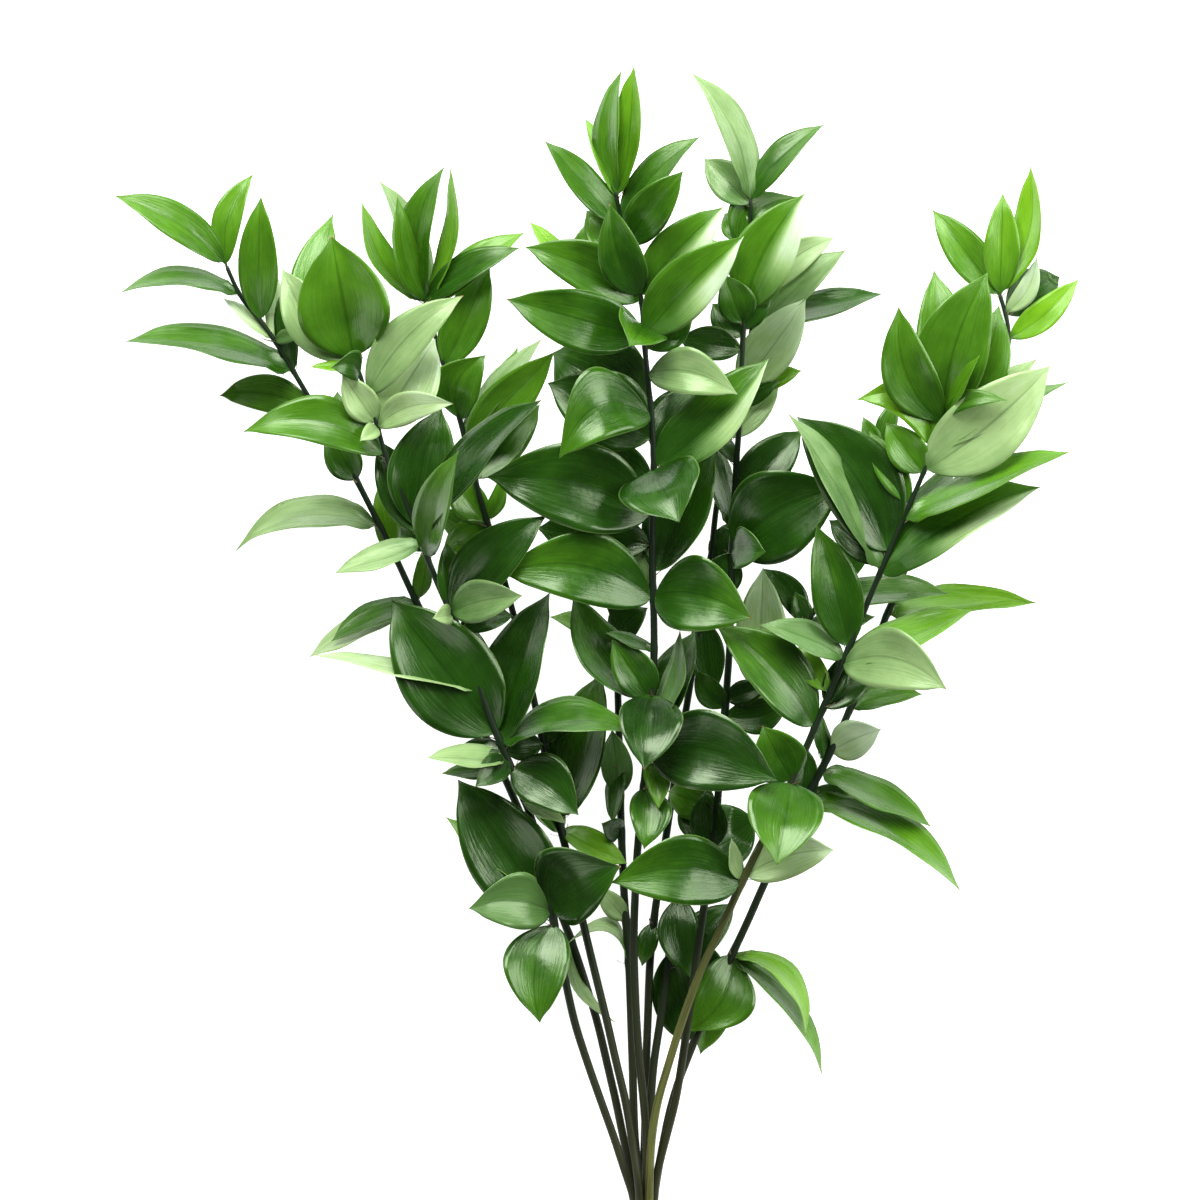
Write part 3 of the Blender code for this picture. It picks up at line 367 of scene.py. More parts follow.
def packedSheet(path, leaf, rise, t, v):
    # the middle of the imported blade, for finding it in the model
    look = bladeForm
    root, _ = pointOnStem(path, leaf[0])
    centre, across, facing, wave, width, _ = leafFrame(path, leaf, root[2] + rise, root, t)
    blade = np.clip((t - look["stalkShare"]) / (1.0 - look["stalkShare"]), 0.0, 1.0)
    half = look["halfShare"] * width * np.abs(np.sin(math.pi * blade ** look["peak"])) ** look["fullness"]
    half = np.maximum(half, look["stalkHalfWidth"] * (1.0 - t))
    fold = wave * half * (np.abs(v) ** look["foldPower"] - look["foldMiddle"])
    points = centre + across * (half * v)[:, None] + facing * fold[:, None]
    points[:, 2] = np.maximum(points[:, 2], 0.5 * look["thickness"])
    return points


riseSearch = dict(
    step=0.003, steps=13, margin=0.003, farGap=0.002, smallWidth=13, smallLength=0.026, wideWidth=20,
    smallRows=(0.12, 0.52, 1.0), middleRows=(0.3, 0.66, 1.0), wideRows=(0.25, 0.5, 0.77, 1.0), stepCost=1e-6)


def findRise(path, leaf, corners):
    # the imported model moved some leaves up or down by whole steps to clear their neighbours; the step
    # whose blade lies nearest to the model's corners is the one that it used
    look = riseSearch
    _, tipX, tipY, width = leaf[:4]
    root, _ = pointOnStem(path, leaf[0])
    flat = math.hypot(tipX * mm - root[0], tipY * mm - root[1])
    small = width < look["smallWidth"] or flat < look["smallLength"]
    kind = "smallRows" if small else "wideRows" if width >= look["wideWidth"] else "middleRows"
    across = [-1.0, 1.0] if small else [-1.0, 0.0, 1.0]
    t, v = (grid.ravel() for grid in np.meshgrid(look[kind], across))
    wished = leafRise(path, leaf)
    steps = np.arange(-look["steps"], look["steps"] + 1)
    sheets = np.array([packedSheet(path, leaf, wished + step * look["step"], t, v) for step in steps])
    low, high = sheets.min(axis=(0, 1)) - look["margin"], sheets.max(axis=(0, 1)) + look["margin"]
    near = corners[np.all((corners > low) & (corners < high), axis=1)]
    if len(near) == 0:
        return root[2] + wished
    gaps = np.sqrt(((sheets[:, :, None] - near[None, None]) ** 2).sum(axis=-1)).min(axis=-1)
    score = np.minimum(gaps, look["farGap"]).mean(axis=1) + look["stepCost"] * np.abs(steps)
    return root[2] + wished + steps[np.argmin(score)] * look["step"]


# each pair is where along or across the leaf a change begins and ends
leafLook = dict(
    baseShare=0.02, baseFullness=0.71, tipTaper=0.95, fullness=1.07, tipPinch=0.35, pinch=(0.84, 1.0),
    stalkHalfWidth=0.0005, stalkFade=(0.0, 0.3), leastHalfWidth=0.00012,
    thickness=0.00048, rimThickness=0.00018, rimPower=5, stalkThickness=0.0010, stalkThinning=(0.0, 0.10),
    tipThinning=0.6, tipThin=(0.9, 1.0),
    ribDepth=0.00022, ribWidth=0.0007, ribStart=(0.05, 0.15), ribEnd=(0.5, 1.0),
    ripple=0.035, ripples=2.2, ripplePower=2.5, rippleShift=1.7, rippleStart=(0.1, 0.4),
    tipDroop=0.02, droop=(0.8, 1.0), unevenness=0.05, unevenTurns=40.0,
    # painted highlight: where across and along the silvery wash lies, and how much it lifts the lightness
    paintedHighlightAcross=(0.05, 0.45), paintedHighlightAlong=(0.15, 0.60), paintedHighlightLift=0.38,
    rows=(30, 25, 17), columns=(13, 11, 7), widths=(24, 13), evenRows=0.6, columnCrowding=1.2, stemSeed=0.17)


def leafSurface(line, path, leaf, tipZ, seed, rows, columns):
    # closed blade on a grid of rows root to tip and a loop of columns over the top and back under:
    # half width is a power curve that rises from the stalk and tapers to a pinched point, the section
    # is a shallow V with a rib, and the edge ripples
    look = leafLook
    s = np.linspace(0.0, 1.0, rows)
    t = look["evenRows"] * s + 0.5 * (1.0 - look["evenRows"]) * (1.0 - np.cos(math.pi * s))
    c = np.linspace(-1.0, 1.0, columns)
    v = np.sign(c) * np.abs(c) ** look["columnCrowding"]
    root, _ = pointOnStem(line, leaf[0])
    centre, across, facing, wave, width, length = leafFrame(path, leaf, tipZ, root, t)
    blade = np.clip((t - look["baseShare"]) / (1.0 - look["baseShare"]), 0.0, 1.0)
    peak = look["baseFullness"] / (look["baseFullness"] + look["tipTaper"])
    outline = (blade / peak) ** look["baseFullness"] * ((1.0 - blade) / (1.0 - peak)) ** look["tipTaper"]
    outline *= 1.0 - look["tipPinch"] * smoothStep(blade, *look["pinch"])
    half = 0.5 * width * look["fullness"] * outline
    stalkHalf = look["stalkHalfWidth"] * (1.0 - smoothStep(t, *look["stalkFade"]))
    half = np.maximum(half, stalkHalf + look["leastHalfWidth"])
    lopside = look["unevenness"] * math.sin(look["unevenTurns"] * seed)
    reach = half[:, None] * v * (1.0 + lopside * np.sign(v))
    depth = wave[:, None] * half[:, None] * (np.abs(v) ** bladeForm["foldPower"] - bladeForm["foldMiddle"])
    phase = 2.0 * math.pi * (look["ripples"] * t[:, None] + seed) + look["rippleShift"] * np.sign(v)
    ripple = look["ripple"] * half * smoothStep(t, *look["rippleStart"])
    depth += ripple[:, None] * np.abs(v) ** look["ripplePower"] * np.sin(phase)
    rib = look["ribDepth"] * smoothStep(t, *look["ribStart"]) * (1.0 - smoothStep(t, *look["ribEnd"]))
    depth -= rib[:, None] * np.exp(-(reach / look["ribWidth"]) ** 2)
    depth -= look["tipDroop"] * length * smoothStep(t, *look["droop"])[:, None]
    inner = 1.0 - np.abs(v) ** look["rimPower"]
    wall = look["rimThickness"] + (look["thickness"] - look["rimThickness"]) * inner
    stalk = (look["stalkThickness"] - look["thickness"]) * (1.0 - smoothStep(t, *look["stalkThinning"]))
    tip = 1.0 - look["tipThinning"] * smoothStep(t, *look["tipThin"])
    wall = (wall[None, :] + stalk[:, None]) * tip[:, None]
    middle = centre[:, None] + across[:, None] * reach[..., None] + facing[:, None] * depth[..., None]
    middle[..., 2] = np.maximum(middle[..., 2], 0.5 * wall + bladeGap)
    lift = 0.5 * facing[:, None] * wall[..., None]
    points = np.concatenate([middle + lift, (middle - lift)[:, ::-1]], axis=1)
    points[..., 2] = np.maximum(points[..., 2], floorGap)
    loopV = np.concatenate([v, v[::-1]])
    face = np.concatenate([np.ones(columns), np.zeros(columns)])
    place = np.stack(np.broadcast_arrays(loopV[None, :], (t * length / mm)[:, None], seed), axis=-1)
    kind, tone = divmod(leaf[7], 1.0)
    # painted highlight: on leaves marked 2, a whitish wash over one half towards the tip, shown in the pale
    # colours with lifted lightness
    paintedHighlight = smoothStep(-loopV, *look["paintedHighlightAcross"]) * smoothStep(t, *look["paintedHighlightAlong"])[:, None]
    pale = paintedHighlight if kind > 1.0 else kind
    shade = tone + look["paintedHighlightLift"] * paintedHighlight ** 2 if kind > 1.0 else tone
    run = np.broadcast_to(t[:, None], points.shape[:2])
    return points, place, np.stack(np.broadcast_arrays(shade, pale, face, run)[:3], axis=-1), run


# Mesh building


def closedFaces(rows, columns, copies=1):
    # quads round a closed loop from row to row, and strips across both ends, facing out where the
    # loop runs left to right over the top and back under
    r, c = np.meshgrid(np.arange(rows - 1), np.arange(columns), indexing="ij")
    after = (c + 1) % columns
    sides = np.stack([r * columns + c, (r + 1) * columns + c,
                      (r + 1) * columns + after, r * columns + after], axis=-1).reshape(-1, 4)
    k = np.arange(columns // 2 - 1)
    start = np.stack([k, k + 1, columns - 2 - k, columns - 1 - k], axis=-1)
    end = start[:, ::-1] + (rows - 1) * columns
    faces = np.concatenate([sides, start, end])
    shift = np.arange(copies)[:, None, None] * rows * columns
    return (faces[None] + shift).reshape(-1, 4)


def addObject(name, data):
    item = bpy.data.objects.new(name, data)
    bpy.context.scene.collection.objects.link(item)
    return item


def newPiece(name, parts, materials, node):
    # one mesh from parts of points, quads, material number and named attributes
    mesh = bpy.data.meshes.new(name)
    clouds = [part["points"].reshape(-1, 3) for part in parts]
    counts = np.cumsum([0] + [len(cloud) for cloud in clouds])
    points = np.concatenate(clouds)
    faces = np.concatenate([part["faces"] + shift for part, shift in zip(parts, counts)])
    mesh.vertices.add(len(points))
    mesh.vertices.foreach_set("co", points.ravel())
    mesh.loops.add(faces.size)
    mesh.loops.foreach_set("vertex_index", faces.ravel())
    mesh.polygons.add(len(faces))
    mesh.polygons.foreach_set("loop_start", np.arange(len(faces)) * 4)
    index = np.concatenate([np.full(len(part["faces"]), part["material"]) for part in parts])
    mesh.polygons.foreach_set("material_index", index)
    for label, size in (("place", 3), ("look", 3), ("run", 1)):
        kind, field = ("FLOAT_VECTOR", "vector") if size == 3 else ("FLOAT", "value")
        found = [part.get(label, np.zeros((len(cloud), size))).reshape(-1, size)
                 for part, cloud in zip(parts, clouds)]
        attribute = mesh.attributes.new(label, kind, "POINT")
        attribute.data.foreach_set(field, np.concatenate(found).astype(np.float32).ravel())
    for material in materials:
        mesh.materials.append(material)
    mesh.update()
    mesh.validate()
    mesh.shade_smooth()
    piece = addObject(name, mesh)
    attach(piece, "root")
    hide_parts(node)
    return piece


def roundTube(line, radius, sides):
    # rings round a centre line, each turned square to it; the loop runs over the top and back under
    heading = unit(np.gradient(line, axis=0))
    side = unit(np.cross(heading, [0.0, 0.0, 1.0]))
    up = np.cross(side, heading)
    angle = math.pi * (1.0 - 2.0 * (np.arange(sides) + 0.5) / sides)
    out = side[:, None] * np.cos(angle)[None, :, None] + up[:, None] * np.sin(angle)[None, :, None]
    return line[:, None] + out * radius[..., None]


# Stems

stemLook = dict(sides=14, step=3, ribs=7, ribDepth=0.035, knuckle=0.16, knuckleLength=0.0022, tipLength=0.004,
                blunt=0.05, seedStep=0.137)


def stemPart(name, line, nodes):
    # a thinning tube with fine ribs along it, a knuckle at each leaf and a rounded top
    look = stemLook
    count = (len(line) - 1) // look["step"] + 1
    rings = line[np.linspace(0, len(line) - 1, count).round().astype(int)]
    angle = 2.0 * math.pi * (np.arange(look["sides"]) + 0.5) / look["sides"]
    radius = rings[:, 3].copy()
    if nodes:
        gap = (rings[:, 1][:, None] - np.array(nodes)[None] * mm) / look["knuckleLength"]
        radius *= 1.0 + look["knuckle"] * np.exp(-gap ** 2).max(axis=1)
    left = (rings[-1, 1] - rings[:, 1]) / look["tipLength"]
    radius *= np.sqrt(np.clip(1.0 - np.clip(1.0 - left, 0.0, 1.0) ** 2, look["blunt"], 1.0))
    ribbed = radius[:, None] * (1.0 + look["ribDepth"] * np.cos(look["ribs"] * angle))[None]
    points = roundTube(rings[:, :3], ribbed, look["sides"])
    points[..., 2] = np.maximum(points[..., 2], 0.0)
    height = np.broadcast_to(rings[:, 1][:, None] / mm, points.shape[:2])
    turn = np.broadcast_to(angle[None], points.shape[:2])
    seed = look["seedStep"] * (1 + list(stems).index(name))
    place = np.stack([turn, height, np.full_like(height, seed)], axis=-1)
    share = (height - height.min()) / (height.max() - height.min())
    olive = np.full_like(share, stems[name].get("olive", 0.0))
    return dict(points=points, faces=closedFaces(count, look["sides"]), material=1, place=place,
                look=np.stack([share, olive, np.zeros_like(share)], axis=-1), run=share)


bractLook = dict(rows=7, columns=3, length=0.0052, width=0.0017, wall=0.00016, lean=0.75, curl=0.0016,
                 curlTurn=3.0, below=1.2, aimRise=0.006, inset=0.8, smallest=0.75, sizeSpread=0.5,
                 leastLean=0.6, leanSpread=0.8, leanStep=(0.382, 0.3), taper=1.4, tipHalf=0.00005, cup=0.0002)


def bractPart(line, leaf, number):
    # papery scale under each leaf stalk: a narrow pointed strip that leans out and curls back
    look = bractLook
    height, tipX, tipY = leaf[:3]
    root, run = pointOnStem(line, height - look["below"])
    away = np.array([tipX * mm, tipY * mm, root[2] + look["aimRise"]]) - root
    away = unit(away - run * np.dot(away, run))
    seed = (goldenStep * number) % 1.0
    leanSeed = (look["leanStep"][0] * number + look["leanStep"][1]) % 1.0
    size = look["smallest"] + look["sizeSpread"] * seed
    lean = look["lean"] * (look["leastLean"] + look["leanSpread"] * leanSeed)
    t = np.linspace(0.0, 1.0, look["rows"])[:, None]
    v = np.linspace(-1.0, 1.0, look["columns"])[None, :]
    side = np.cross(run, away)
    start = root + away * np.interp(height * mm, line[:, 1], line[:, 3]) * look["inset"]
    climb = t * look["length"] * size
    leaning = climb * math.sin(lean) + look["curl"] * t ** 2 * np.sin(look["curlTurn"] * t)
    centre = start + climb * run * math.cos(lean) + leaning * away
    half = 0.5 * look["width"] * size * (1.0 - t ** look["taper"]) + look["tipHalf"]
    middle = centre[:, None] + side * (half * v)[..., None] - away * (look["cup"] * v ** 2)[..., None]
    lift = 0.5 * look["wall"] * away
    points = np.concatenate([middle + lift, (middle - lift)[:, ::-1]], axis=1)
    points[..., 2] = np.maximum(points[..., 2], floorGap)
    tint = np.full(points.shape[:2], seed)
    rise = np.broadcast_to(t, points.shape[:2])
    return points, np.stack([tint, rise, tint], axis=-1)


def leafyStem(name, path, materials):
    # one stem with its leaves and scales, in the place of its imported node
    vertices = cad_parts[name].data.vertices
    corners = np.empty(len(vertices) * 3, np.float32)
    vertices.foreach_get("co", corners)
    corners = corners.reshape(-1, 3).astype(float)
    line = smoothPath(name, path)
    rows = leaves[name]
    order = list(stems).index(name)
    groups = {size: [] for size in range(len(leafLook["rows"]))}
    scales = []
    for number, leaf in enumerate(rows):
        size = sum(leaf[3] < limit for limit in leafLook["widths"])
        tipZ = findRise(path, leaf, corners)
        seed = (goldenStep * number + leafLook["stemSeed"] * order) % 1.0
        groups[size].append(leafSurface(line, path, leaf, tipZ, seed,
                                        leafLook["rows"][size], leafLook["columns"][size]))
        scales.append(bractPart(line, leaf, number + 3 * order))
    parts = [stemPart(name, line, [leaf[0] for leaf in rows])]
    for size, made in groups.items():
        if not made:
            continue
        points, place, look, run = (np.stack(field) for field in zip(*made))
        faces = closedFaces(leafLook["rows"][size], 2 * leafLook["columns"][size], len(made))
        parts.append(dict(points=points, faces=faces, material=0, place=place, look=look, run=run))
    points, place = (np.stack(field) for field in zip(*scales))
    faces = closedFaces(bractLook["rows"], 2 * bractLook["columns"], len(scales))
    parts.append(dict(points=points, faces=faces, material=2, place=place))
    return newPiece(name + "_leafy", parts, materials, name)


# Tie

tieLook = dict(turns=6, halfLength=0.0052, strandWidth=0.0022, strandWall=0.0010, steps=64, sides=12,
               reach=0.0030, easing=15, crown=0.8, fibreStep=0.6, seed=0.3)


def windTie(paths, material):
    # a flat strand wound side by side round the stems: the outline is the furthest stem in each
    # direction plus a reach, and it creeps along the bunch by a strand's width a turn
    look = tieLook
    spots = np.array([(np.interp(0.0, path[:, 1], path[:, 0]), np.interp(0.0, path[:, 1], path[:, 2]))
                      for path in paths.values()])
    count = look["turns"] * look["steps"]
    angle = 2.0 * math.pi * np.arange(count + 1) / look["steps"] - 0.5 * math.pi
    out = np.stack([np.cos(angle), np.sin(angle)], axis=1)
    furthest = spots[np.argmax(spots @ out.T, axis=0)]
    line = np.empty((count + 1, 3))
    line[:, (0, 2)] = furthest + out * look["reach"]
    line[:, 1] = np.linspace(-look["halfLength"], look["halfLength"], count + 1)
    ease = np.ones(look["easing"]) / look["easing"]
    end = look["easing"] // 2
    for k in (0, 2):
        line[end:-end, k] = np.convolve(line[:, k], ease, mode="valid")
    sweep = 2.0 * math.pi * (np.arange(look["sides"]) + 0.5) / look["sides"]
    outward = np.stack([out[:, 0], np.zeros(count + 1), out[:, 1]], axis=1)
    crown = np.sign(np.sin(sweep)) * np.abs(np.sin(sweep)) ** look["crown"]
    points = (line[:, None] + outward[:, None] * (0.5 * look["strandWall"] * crown)[None, :, None]
              + np.array([0.0, 1.0, 0.0]) * (0.5 * look["strandWidth"] * np.cos(sweep))[None, :, None])
    points[..., 2] = np.maximum(points[..., 2], 0.0)
    along = look["fibreStep"] * np.arange(count + 1)[:, None]
    place = np.stack(np.broadcast_arrays(sweep[None, :], along, look["seed"]), axis=-1)
    part = dict(points=points, faces=closedFaces(count + 1, look["sides"]), material=0, place=place)
    return newPiece("tie_wound", [part], [material], "tie")


# Finishes


def fill(tree, node, inputs):
    # each input linked to another node, or set to a number or a colour
    for name, value in inputs.items():
        if isinstance(value, bpy.types.NodeSocket):
            tree.links.new(value, node.inputs[name])
        else:
            node.inputs[name].default_value = (*value, 1.0) if isinstance(value, tuple) else value


def newMaterial(name, inputs):
    material = bpy.data.materials.new(name)
    material.use_nodes = True
    shader = material.node_tree.nodes["Principled BSDF"]
    fill(material.node_tree, shader, inputs)
    return material, material.node_tree, shader


def addNode(tree, kind, inputs, **settings):
    node = tree.nodes.new("ShaderNode" + kind)
    for setting, value in settings.items():
        setattr(node, setting, value)
    fill(tree, node, inputs)
    return node


def attributeParts(tree, name):
    held = addNode(tree, "Attribute", {}, attribute_name=name)
    split = addNode(tree, "SeparateXYZ", {0: held.outputs["Vector"]})
    return split.outputs[0], split.outputs[1], split.outputs[2]


def mathNode(tree, operation, *values):
    return addNode(tree, "Math", dict(enumerate(values)), operation=operation).outputs[0]


def rangeNode(tree, value, low, high, start=0.0, end=1.0):
    inputs = {"Value": value, "From Min": low, "From Max": high, "To Min": start, "To Max": end}
    return addNode(tree, "MapRange", inputs, interpolation_type="SMOOTHSTEP").outputs[0]


def mixColour(tree, share, first, second):
    inputs = {"Factor": share, 6: first, 7: second}
    return addNode(tree, "Mix", inputs, data_type="RGBA").outputs[2]


def rampNode(tree, value, stops):
    node = addNode(tree, "ValToRGB", {0: value})
    elements = node.color_ramp.elements
    for element, (place, colour) in zip(elements, (stops[0], stops[-1])):
        element.position = place
        element.color = (*colour, 1.0)
    for place, colour in stops[1:-1]:
        elements.new(place).color = (*colour, 1.0)
    return node.outputs[0]


noiseRoughness = 0.55


def noiseNode(tree, x, y, z, detail=3.0):
    vector = addNode(tree, "CombineXYZ", {0: x, 1: y, 2: z}).outputs[0]
    inputs = {"Vector": vector, "Scale": 1.0, "Detail": detail, "Roughness": noiseRoughness}
    return addNode(tree, "TexNoise", inputs).outputs["Fac"]


def roundNoise(tree, look, turn, along, shift, detail=3.0):
    # grain that closes on itself round a stem or strand
    x = product(tree, mathNode(tree, "SINE", turn), look["grain"])
    z = mathNode(tree, "MULTIPLY_ADD", mathNode(tree, "COSINE", turn), look["grain"], shift)
    return noiseNode(tree, x, product(tree, along, look["stretch"]), z, detail)


def finish(tree, shader, colour, height, look):
    # colour on the surface, and a bump of the look's strength and depth
    inputs = {"Height": height, "Strength": look["bumpStrength"], "Distance": look["bump"]}
    fill(tree, shader, {"Base Color": colour, "Normal": addNode(tree, "Bump", inputs).outputs[0]})


def product(tree, first, second):
    return mathNode(tree, "MULTIPLY", first, second)


def wander(tree, noise, reach):
    # the noise, moved so that it swings evenly about nought
    return mathNode(tree, "MULTIPLY_ADD", noise, reach, -0.5 * reach)


seedShift = 57.0
leafFinish = dict(
    deep=(0.005, 0.023, 0.002), dark=(0.017, 0.073, 0.003), middle=(0.072, 0.212, 0.008),
    bright=(0.165, 0.390, 0.010), dull=(0.085, 0.185, 0.045), pale=(0.320, 0.470, 0.190),
    paintedSilverSheen=(0.540, 0.670, 0.480), tint=(0.840, 1.000, 0.700),
    rim=(0.270, 0.440, 0.130), dryTip=(0.200, 0.110, 0.035), specular=0.6,
    streaks=17.0, streakStretch=0.035, streakDrift=0.10, mottles=1.6, mottleStretch=0.06, mottleShift=9.0,
    mottleDrift=0.36, paintedBaseShade=0.24, darkStop=0.28, middleStop=0.62, dullStop=0.25, paleStop=0.70,
    ribShadeEdge=(0.012, 0.06), ribShadeShare=0.35, rimEdge=0.955, rimShare=0.35, rimStart=(0.1, 0.25),
    dryStart=0.965, drySeed=0.7, stalkEnd=(0.04, 0.14), stalkShare=0.7,
    gloss=0.25, mottleGloss=0.16, dullness=0.28, sheen=0.32, bump=0.00022, bumpStrength=0.6, pucker=3.0)


def leafMaterial():
    # lightness picks the green; streaks run lengthwise and crowd towards both ends as real veins do
    look = leafFinish
    material, tree, shader = newMaterial("waxy ruscus leaf", {"Specular IOR Level": look["specular"],
                                                              "Specular Tint": look["tint"]})
    v, along, seed = attributeParts(tree, "place")
    tone, pale, top = attributeParts(tree, "look")
    run = addNode(tree, "Attribute", {}, attribute_name="run").outputs["Fac"]
    shift = product(tree, seed, seedShift)
    streaks = noiseNode(tree, product(tree, v, look["streaks"]),
                        product(tree, along, look["streakStretch"]), shift, detail=4.0)
    mottle = noiseNode(tree, product(tree, v, look["mottles"]),
                       product(tree, along, look["mottleStretch"]),
                       mathNode(tree, "ADD", shift, look["mottleShift"]))
    drift = mathNode(tree, "ADD", wander(tree, streaks, look["streakDrift"]),
                     wander(tree, mottle, look["mottleDrift"]))
    # painted shade: each leaf is darker at its base, where the stem and other leaves shade it, and lighter
    # towards the tip
    light = mathNode(tree, "ADD", mathNode(tree, "ADD", tone, drift),
                     wander(tree, run, look["paintedBaseShade"]))
    face = rampNode(tree, light, [(0.0, look["deep"]), (look["darkStop"], look["dark"]),
                                      (look["middleStop"], look["middle"]), (1.0, look["bright"])])
    # the pale ramp ends in a painted sheen: a silvery colour that stands in for the gloss on pale faces and
    # painted highlights
    back = rampNode(tree, light, [(look["dullStop"], look["dull"]), (look["paleStop"], look["pale"]),
                                      (1.0, look["paintedSilverSheen"])])
    under = mathNode(tree, "MULTIPLY_ADD", top, -0.5, 0.5)
    backShare = mathNode(tree, "MAXIMUM", pale, under)
    colour = mixColour(tree, backShare, face, back)
    edge = mathNode(tree, "ABSOLUTE", v)
    # painted shade: a dark line along the midrib groove on the top face
    rib = rangeNode(tree, edge, *look["ribShadeEdge"], look["ribShadeShare"], 0.0)
    colour = mixColour(tree, product(tree, rib, top), colour, look["deep"])
    rim = product(tree, rangeNode(tree, edge, look["rimEdge"], 1.0, 0.0, look["rimShare"]),
                  rangeNode(tree, run, *look["rimStart"]))
    colour = mixColour(tree, rim, colour, look["rim"])
    dry = product(tree, rangeNode(tree, run, look["dryStart"], 1.0),
                  mathNode(tree, "GREATER_THAN", seed, look["drySeed"]))
    colour = mixColour(tree, dry, colour, look["dryTip"])
    stalk = rangeNode(tree, run, *look["stalkEnd"], look["stalkShare"], 0.0)
    colour = mixColour(tree, stalk, colour, look["dark"])
    smoothest = look["gloss"] - 0.5 * look["mottleGloss"] - 0.5 * look["sheen"]
    waxy = mathNode(tree, "MULTIPLY_ADD", mottle, look["mottleGloss"], smoothest)
    waxy = mathNode(tree, "MULTIPLY_ADD", streaks, look["sheen"], waxy)
    dull = product(tree, backShare, look["dullness"] - look["gloss"])
    fill(tree, shader, {"Roughness": mathNode(tree, "ADD", waxy, dull)})
    height = mathNode(tree, "MULTIPLY_ADD", mottle, look["pucker"], streaks)
    finish(tree, shader, colour, height, look)
    return material


stemFinish = dict(foot=(0.036, 0.038, 0.015), top=(0.007, 0.019, 0.006), olive=(0.115, 0.125, 0.030),
                  shade=(0.012, 0.012, 0.008), grain=2.4, stretch=0.05, roughness=0.48, specular=0.22,
                  darkening=(0.1, 0.55), oliveEnd=(0.3, 0.7), shading=(0.45, 0.75), shadeShare=0.6,
                  bumpStrength=0.5, bump=0.0001)


def stemMaterial():
    # brown-green at the foot and nearly black higher up, with long faint streaks
    look = stemFinish
    material, tree, shader = newMaterial("ruscus stem", {"Roughness": look["roughness"],
                                                         "Specular IOR Level": look["specular"]})
    turn, height, seed = attributeParts(tree, "place")
    share, olive, _ = attributeParts(tree, "look")
    grain = roundNoise(tree, look, turn, height, product(tree, seed, seedShift))
    colour = mixColour(tree, rangeNode(tree, share, *look["darkening"]), look["foot"], look["top"])
    olive = product(tree, olive, rangeNode(tree, share, *look["oliveEnd"], 1.0, 0.0))
    colour = mixColour(tree, olive, colour, look["olive"])
    shade = rangeNode(tree, grain, *look["shading"], 0.0, look["shadeShare"])
    colour = mixColour(tree, shade, colour, look["shade"])
    finish(tree, shader, colour, grain, look)
    return material


bractFinish = dict(papery=(0.330, 0.300, 0.150), brown=(0.110, 0.065, 0.030), roughness=0.7,
                   leastBrown=0.25, brownStop=0.8)


def bractMaterial():
    # dry papery scale, browner towards its tip
    look = bractFinish
    material, tree, shader = newMaterial("dry scale", {"Roughness": look["roughness"]})
    tint, rise, _ = attributeParts(tree, "place")
    share = product(tree, rise, mathNode(tree, "ADD", tint, look["leastBrown"]))
    colour = rampNode(tree, share, [(0.0, look["papery"]), (look["brownStop"], look["brown"])])
    fill(tree, shader, {"Base Color": colour})
    return material


tieFinish = dict(straw=(0.500, 0.360, 0.190), shade=(0.230, 0.140, 0.060), grain=3.2, stretch=0.08,
                 roughness=0.75, shading=(0.35, 0.7), bumpStrength=0.7, bump=0.0002)


def tieMaterial():
    # fine fibres along the strand
    look = tieFinish
    material, tree, shader = newMaterial("raffia", {"Roughness": look["roughness"]})
    sweep, along, seed = attributeParts(tree, "place")
    fibres = roundNoise(tree, look, sweep, along, seed, detail=5.0)
    colour = mixColour(tree, rangeNode(tree, fibres, *look["shading"]), look["shade"], look["straw"])
    finish(tree, shader, colour, fibres, look)
    return material


# Table, light and camera

tableLook = dict(size=6.0, colour=(0.85, 0.85, 0.85), glow=0.92, roughness=0.9, specular=0.1)


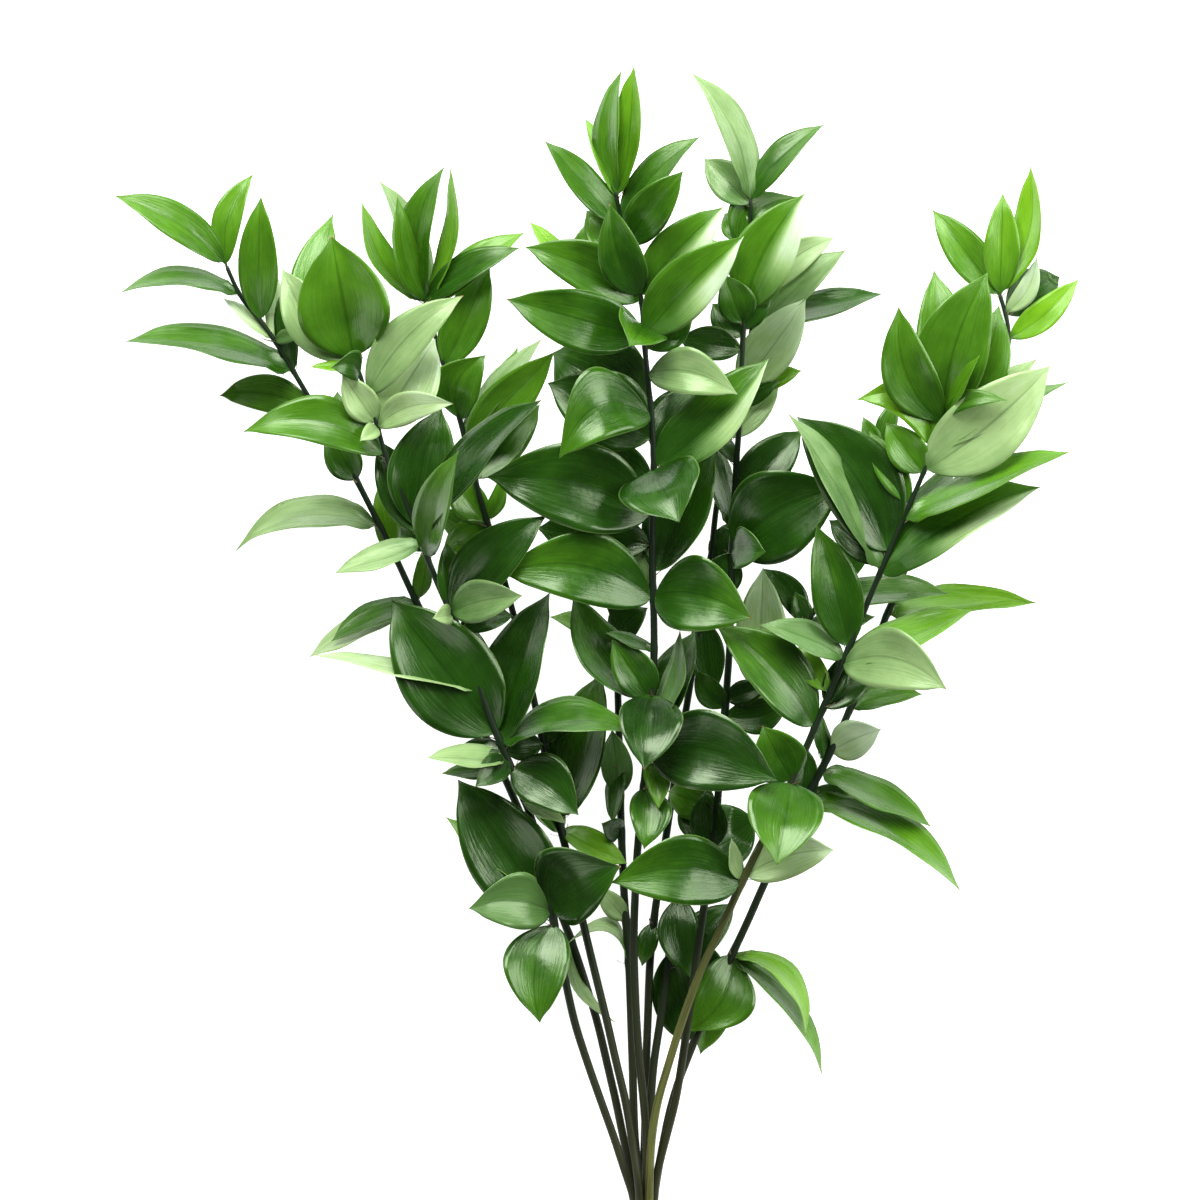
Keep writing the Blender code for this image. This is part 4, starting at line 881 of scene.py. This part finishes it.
def layTable():
    # plain white table that glows a little, as a lit studio sweep does
    look = tableLook
    mesh = bpy.data.meshes.new("table")
    half = 0.5 * look["size"]
    mesh.from_pydata([(-half, -half, 0.0), (half, -half, 0.0), (half, half, 0.0), (-half, half, 0.0)], [],
                     [(0, 1, 2, 3)])
    inputs = {"Base Color": look["colour"], "Roughness": look["roughness"],
              "Specular IOR Level": look["specular"], "Emission Color": (1.0, 1.0, 1.0),
              "Emission Strength": look["glow"]}
    mesh.materials.append(newMaterial("white table", inputs)[0])
    addObject("table", mesh)


# soft boxes: place, size and power
lights = dict(
    key=dict(at=(-0.25, 1.75, 1.35), size=(1.5, 1.2), power=71.0),
    side=dict(at=(1.35, 0.70, 1.05), size=(1.0, 1.0), power=24.0),
    low=dict(at=(-1.2, -0.9, 1.3), size=(0.9, 0.9), power=6.0))
lightAim = (-0.02, 0.33, 0.03)
worldGlow = 0.06


def placeLights():
    for name, look in lights.items():
        data = bpy.data.lights.new(name, "AREA")
        data.shape = "RECTANGLE"
        data.size, data.size_y = look["size"]
        data.energy = look["power"]
        lamp = addObject(name, data)
        lamp.location = look["at"]
        x, y, z = np.array(look["at"]) - lightAim
        lamp.rotation_euler = (math.atan2(math.hypot(x, y), z), 0.0, math.atan2(x, -y))
    world = bpy.data.worlds.new("studio")
    world.use_nodes = True
    tree = world.node_tree
    fill(tree, tree.nodes["Background"], {"Color": (1.0, 1.0, 1.0), "Strength": worldGlow})
    bpy.context.scene.world = world


cameraLook = dict(middle=(-0.020, 0.312), field=0.600, height=6.0, fieldAt=0.045, sensor=36.0, reach=50.0)


def placeCamera():
    # straight down, with the photograph's frame at the middle depth of the leaves
    look = cameraLook
    data = bpy.data.cameras.new("camera")
    data.sensor_width = look["sensor"]
    data.lens = look["sensor"] * look["height"] / look["field"]
    data.clip_end = look["reach"]
    camera = addObject("camera", data)
    camera.location = (*look["middle"], look["height"] + look["fieldAt"])
    bpy.context.scene.camera = camera


bpy.context.scene.view_settings.view_transform = "Standard"
placeCamera()
placeLights()
layTable()
print("table, light and camera placed")

paths = stemPaths()
finishes = [leafMaterial(), stemMaterial(), bractMaterial()]
for name, path in paths.items():
    piece = leafyStem(name, path, finishes)
    print(name, len(leaves[name]), "leaves,", len(piece.data.polygons), "faces")
windTie(paths, tieMaterial())
print("tie wound")
